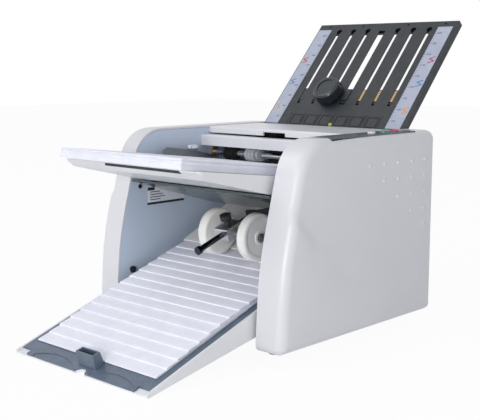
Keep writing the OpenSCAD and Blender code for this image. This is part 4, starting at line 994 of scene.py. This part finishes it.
def fan_tree():
    """Sheets laid like shingles: each climbs one thickness on the last until the fan is full"""
    tree, given, result = tree_with("fan", [
        ("Sheet", "NodeSocketObject"), ("Count", "NodeSocketInt"), ("Pitch", "NodeSocketFloat"),
        ("Rise", "NodeSocketFloat"), ("Most", "NodeSocketFloat"), ("Length", "NodeSocketFloat"),
        ("Shift", "NodeSocketFloat"), ("Finish", "NodeSocketMaterial")])
    climb = tree.nodes.new("ShaderNodeCombineXYZ")
    tree.links.new(given.outputs["Pitch"], climb.inputs["Y"])
    line = tree.nodes.new("GeometryNodeMeshLine")
    tree.links.new(given.outputs["Count"], line.inputs["Count"])
    tree.links.new(climb.outputs["Vector"], line.inputs["Offset"])
    index = tree.nodes.new("GeometryNodeInputIndex")
    grown = reckon(tree, "MULTIPLY", index.outputs[0], given.outputs["Rise"])
    height = reckon(tree, "MINIMUM", grown, given.outputs["Most"])
    low = reckon(tree, "MULTIPLY", given.outputs["Shift"], -1.0)
    chance = tree.nodes.new("FunctionNodeRandomValue")
    chance.inputs["Seed"].default_value = 5
    tree.links.new(low, chance.inputs[2])
    tree.links.new(given.outputs["Shift"], chance.inputs[3])
    move = tree.nodes.new("ShaderNodeCombineXYZ")
    tree.links.new(chance.outputs[1], move.inputs["X"])
    tree.links.new(height, move.inputs["Z"])
    place = tree.nodes.new("GeometryNodeSetPosition")
    tree.links.new(line.outputs["Mesh"], place.inputs["Geometry"])
    tree.links.new(move.outputs["Vector"], place.inputs["Offset"])
    drop = reckon(tree, "DIVIDE", height, given.outputs["Length"])
    down = reckon(tree, "MULTIPLY", drop, -1.0)
    tilt = tree.nodes.new("ShaderNodeCombineXYZ")
    tree.links.new(down, tilt.inputs["X"])
    shape = tree.nodes.new("GeometryNodeObjectInfo")
    tree.links.new(given.outputs["Sheet"], shape.inputs["Object"])
    return spread_over(tree, given, result, place.outputs["Geometry"], shape.outputs["Geometry"],
                       tilt.outputs["Vector"])


fold_white = office_paper("fold_white", shade(238, 239, 247), shade(233, 234, 244))
sheet_object = bpy.data.objects.new("folded_sheet", folded_sheet_mesh())
bpy.context.scene.collection.objects.link(sheet_object)
fan_mesh = grow("folded_fan", fan_tree(), {
    "Sheet": sheet_object, "Count": 15, "Pitch": 0.017, "Rise": 0.00088, "Most": 0.0052,
    "Length": fold_length, "Shift": 0.0008, "Finish": fold_white})
deck_foot = Matrix.Translation((0.0, front_foot_y - tray_reach, 0.0041))
on_deck = deck_foot @ Matrix.Rotation(deck_slope, 4, "X")
fan_mesh.transform(on_deck @ Matrix.Translation((0.0, fan_start, 0.0003)))
fan_half = 0.1049
for v in fan_mesh.vertices:
    v.co.x = max(-fan_half, min(fan_half, v.co.x))
# One more sheet comes down the chute on to the fan, on the way from the rollers.
arriving = sheet_object.data.copy()
arriving_slope = math.radians(26.3)
arriving.transform(Matrix.Translation((0.0, front_foot_y + 0.1025, 0.1013))
                   @ Matrix.Rotation(arriving_slope, 4, "X"))
joined = bmesh.new()
joined.from_mesh(fan_mesh)
joined.from_mesh(arriving)
joined.to_mesh(fan_mesh)
joined.free()
bpy.data.objects.remove(sheet_object)
folded_fan = new_piece("folded_fan", fan_mesh, "frame")
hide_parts("folded_sheets")

# ---- Stacking wheels ----
# Two ivory foam-rimmed wheels turn on an axle in a clamp that slides on a round rail, held by a
# knurled thumbscrew. A black bracket carries the rail from the right plate.

wheel_ivory = soft_rubber("wheel_ivory", shade(246, 245, 241), shade(242, 240, 235))
dress(wheel_ivory, "left_wheel", "right_wheel")
rail_black = bright_metal("rail_black", (0.06, 0.065, 0.07, 1.0), 0.10, 0.2, 1.0)
dress(rail_black, "wheel_rail")
clamp_zinc = bright_metal("clamp_zinc", (0.62, 0.63, 0.65, 1.0), 0.2, 0.34, 1.0)
dress(clamp_zinc, "wheel_clamp")
dress(black_plastic, "rail_bracket", "clamp_screw")

# Black spring clips hold the wheels on their axle, one on each wheel's outer side.
axle_spot = Vector((0.012, front_foot_y + 0.083, 0.12728))
clip_x = 0.0416
clip_ring = bmesh.new()
for hand in (-1, 1):
    ring = bmesh.ops.create_cone(
        clip_ring, cap_ends=True, segments=40, radius1=0.0056, radius2=0.0056, depth=0.0010)
    bmesh.ops.rotate(clip_ring, verts=ring["verts"], matrix=Matrix.Rotation(math.pi / 2, 3, "Y"))
    bmesh.ops.translate(clip_ring, verts=ring["verts"], vec=axle_spot + Vector((hand * clip_x, 0.0, 0.0)))
axle_clips = new_piece("axle_clips", mesh_of("axle_clips", clip_ring), "carriage", black_plastic)
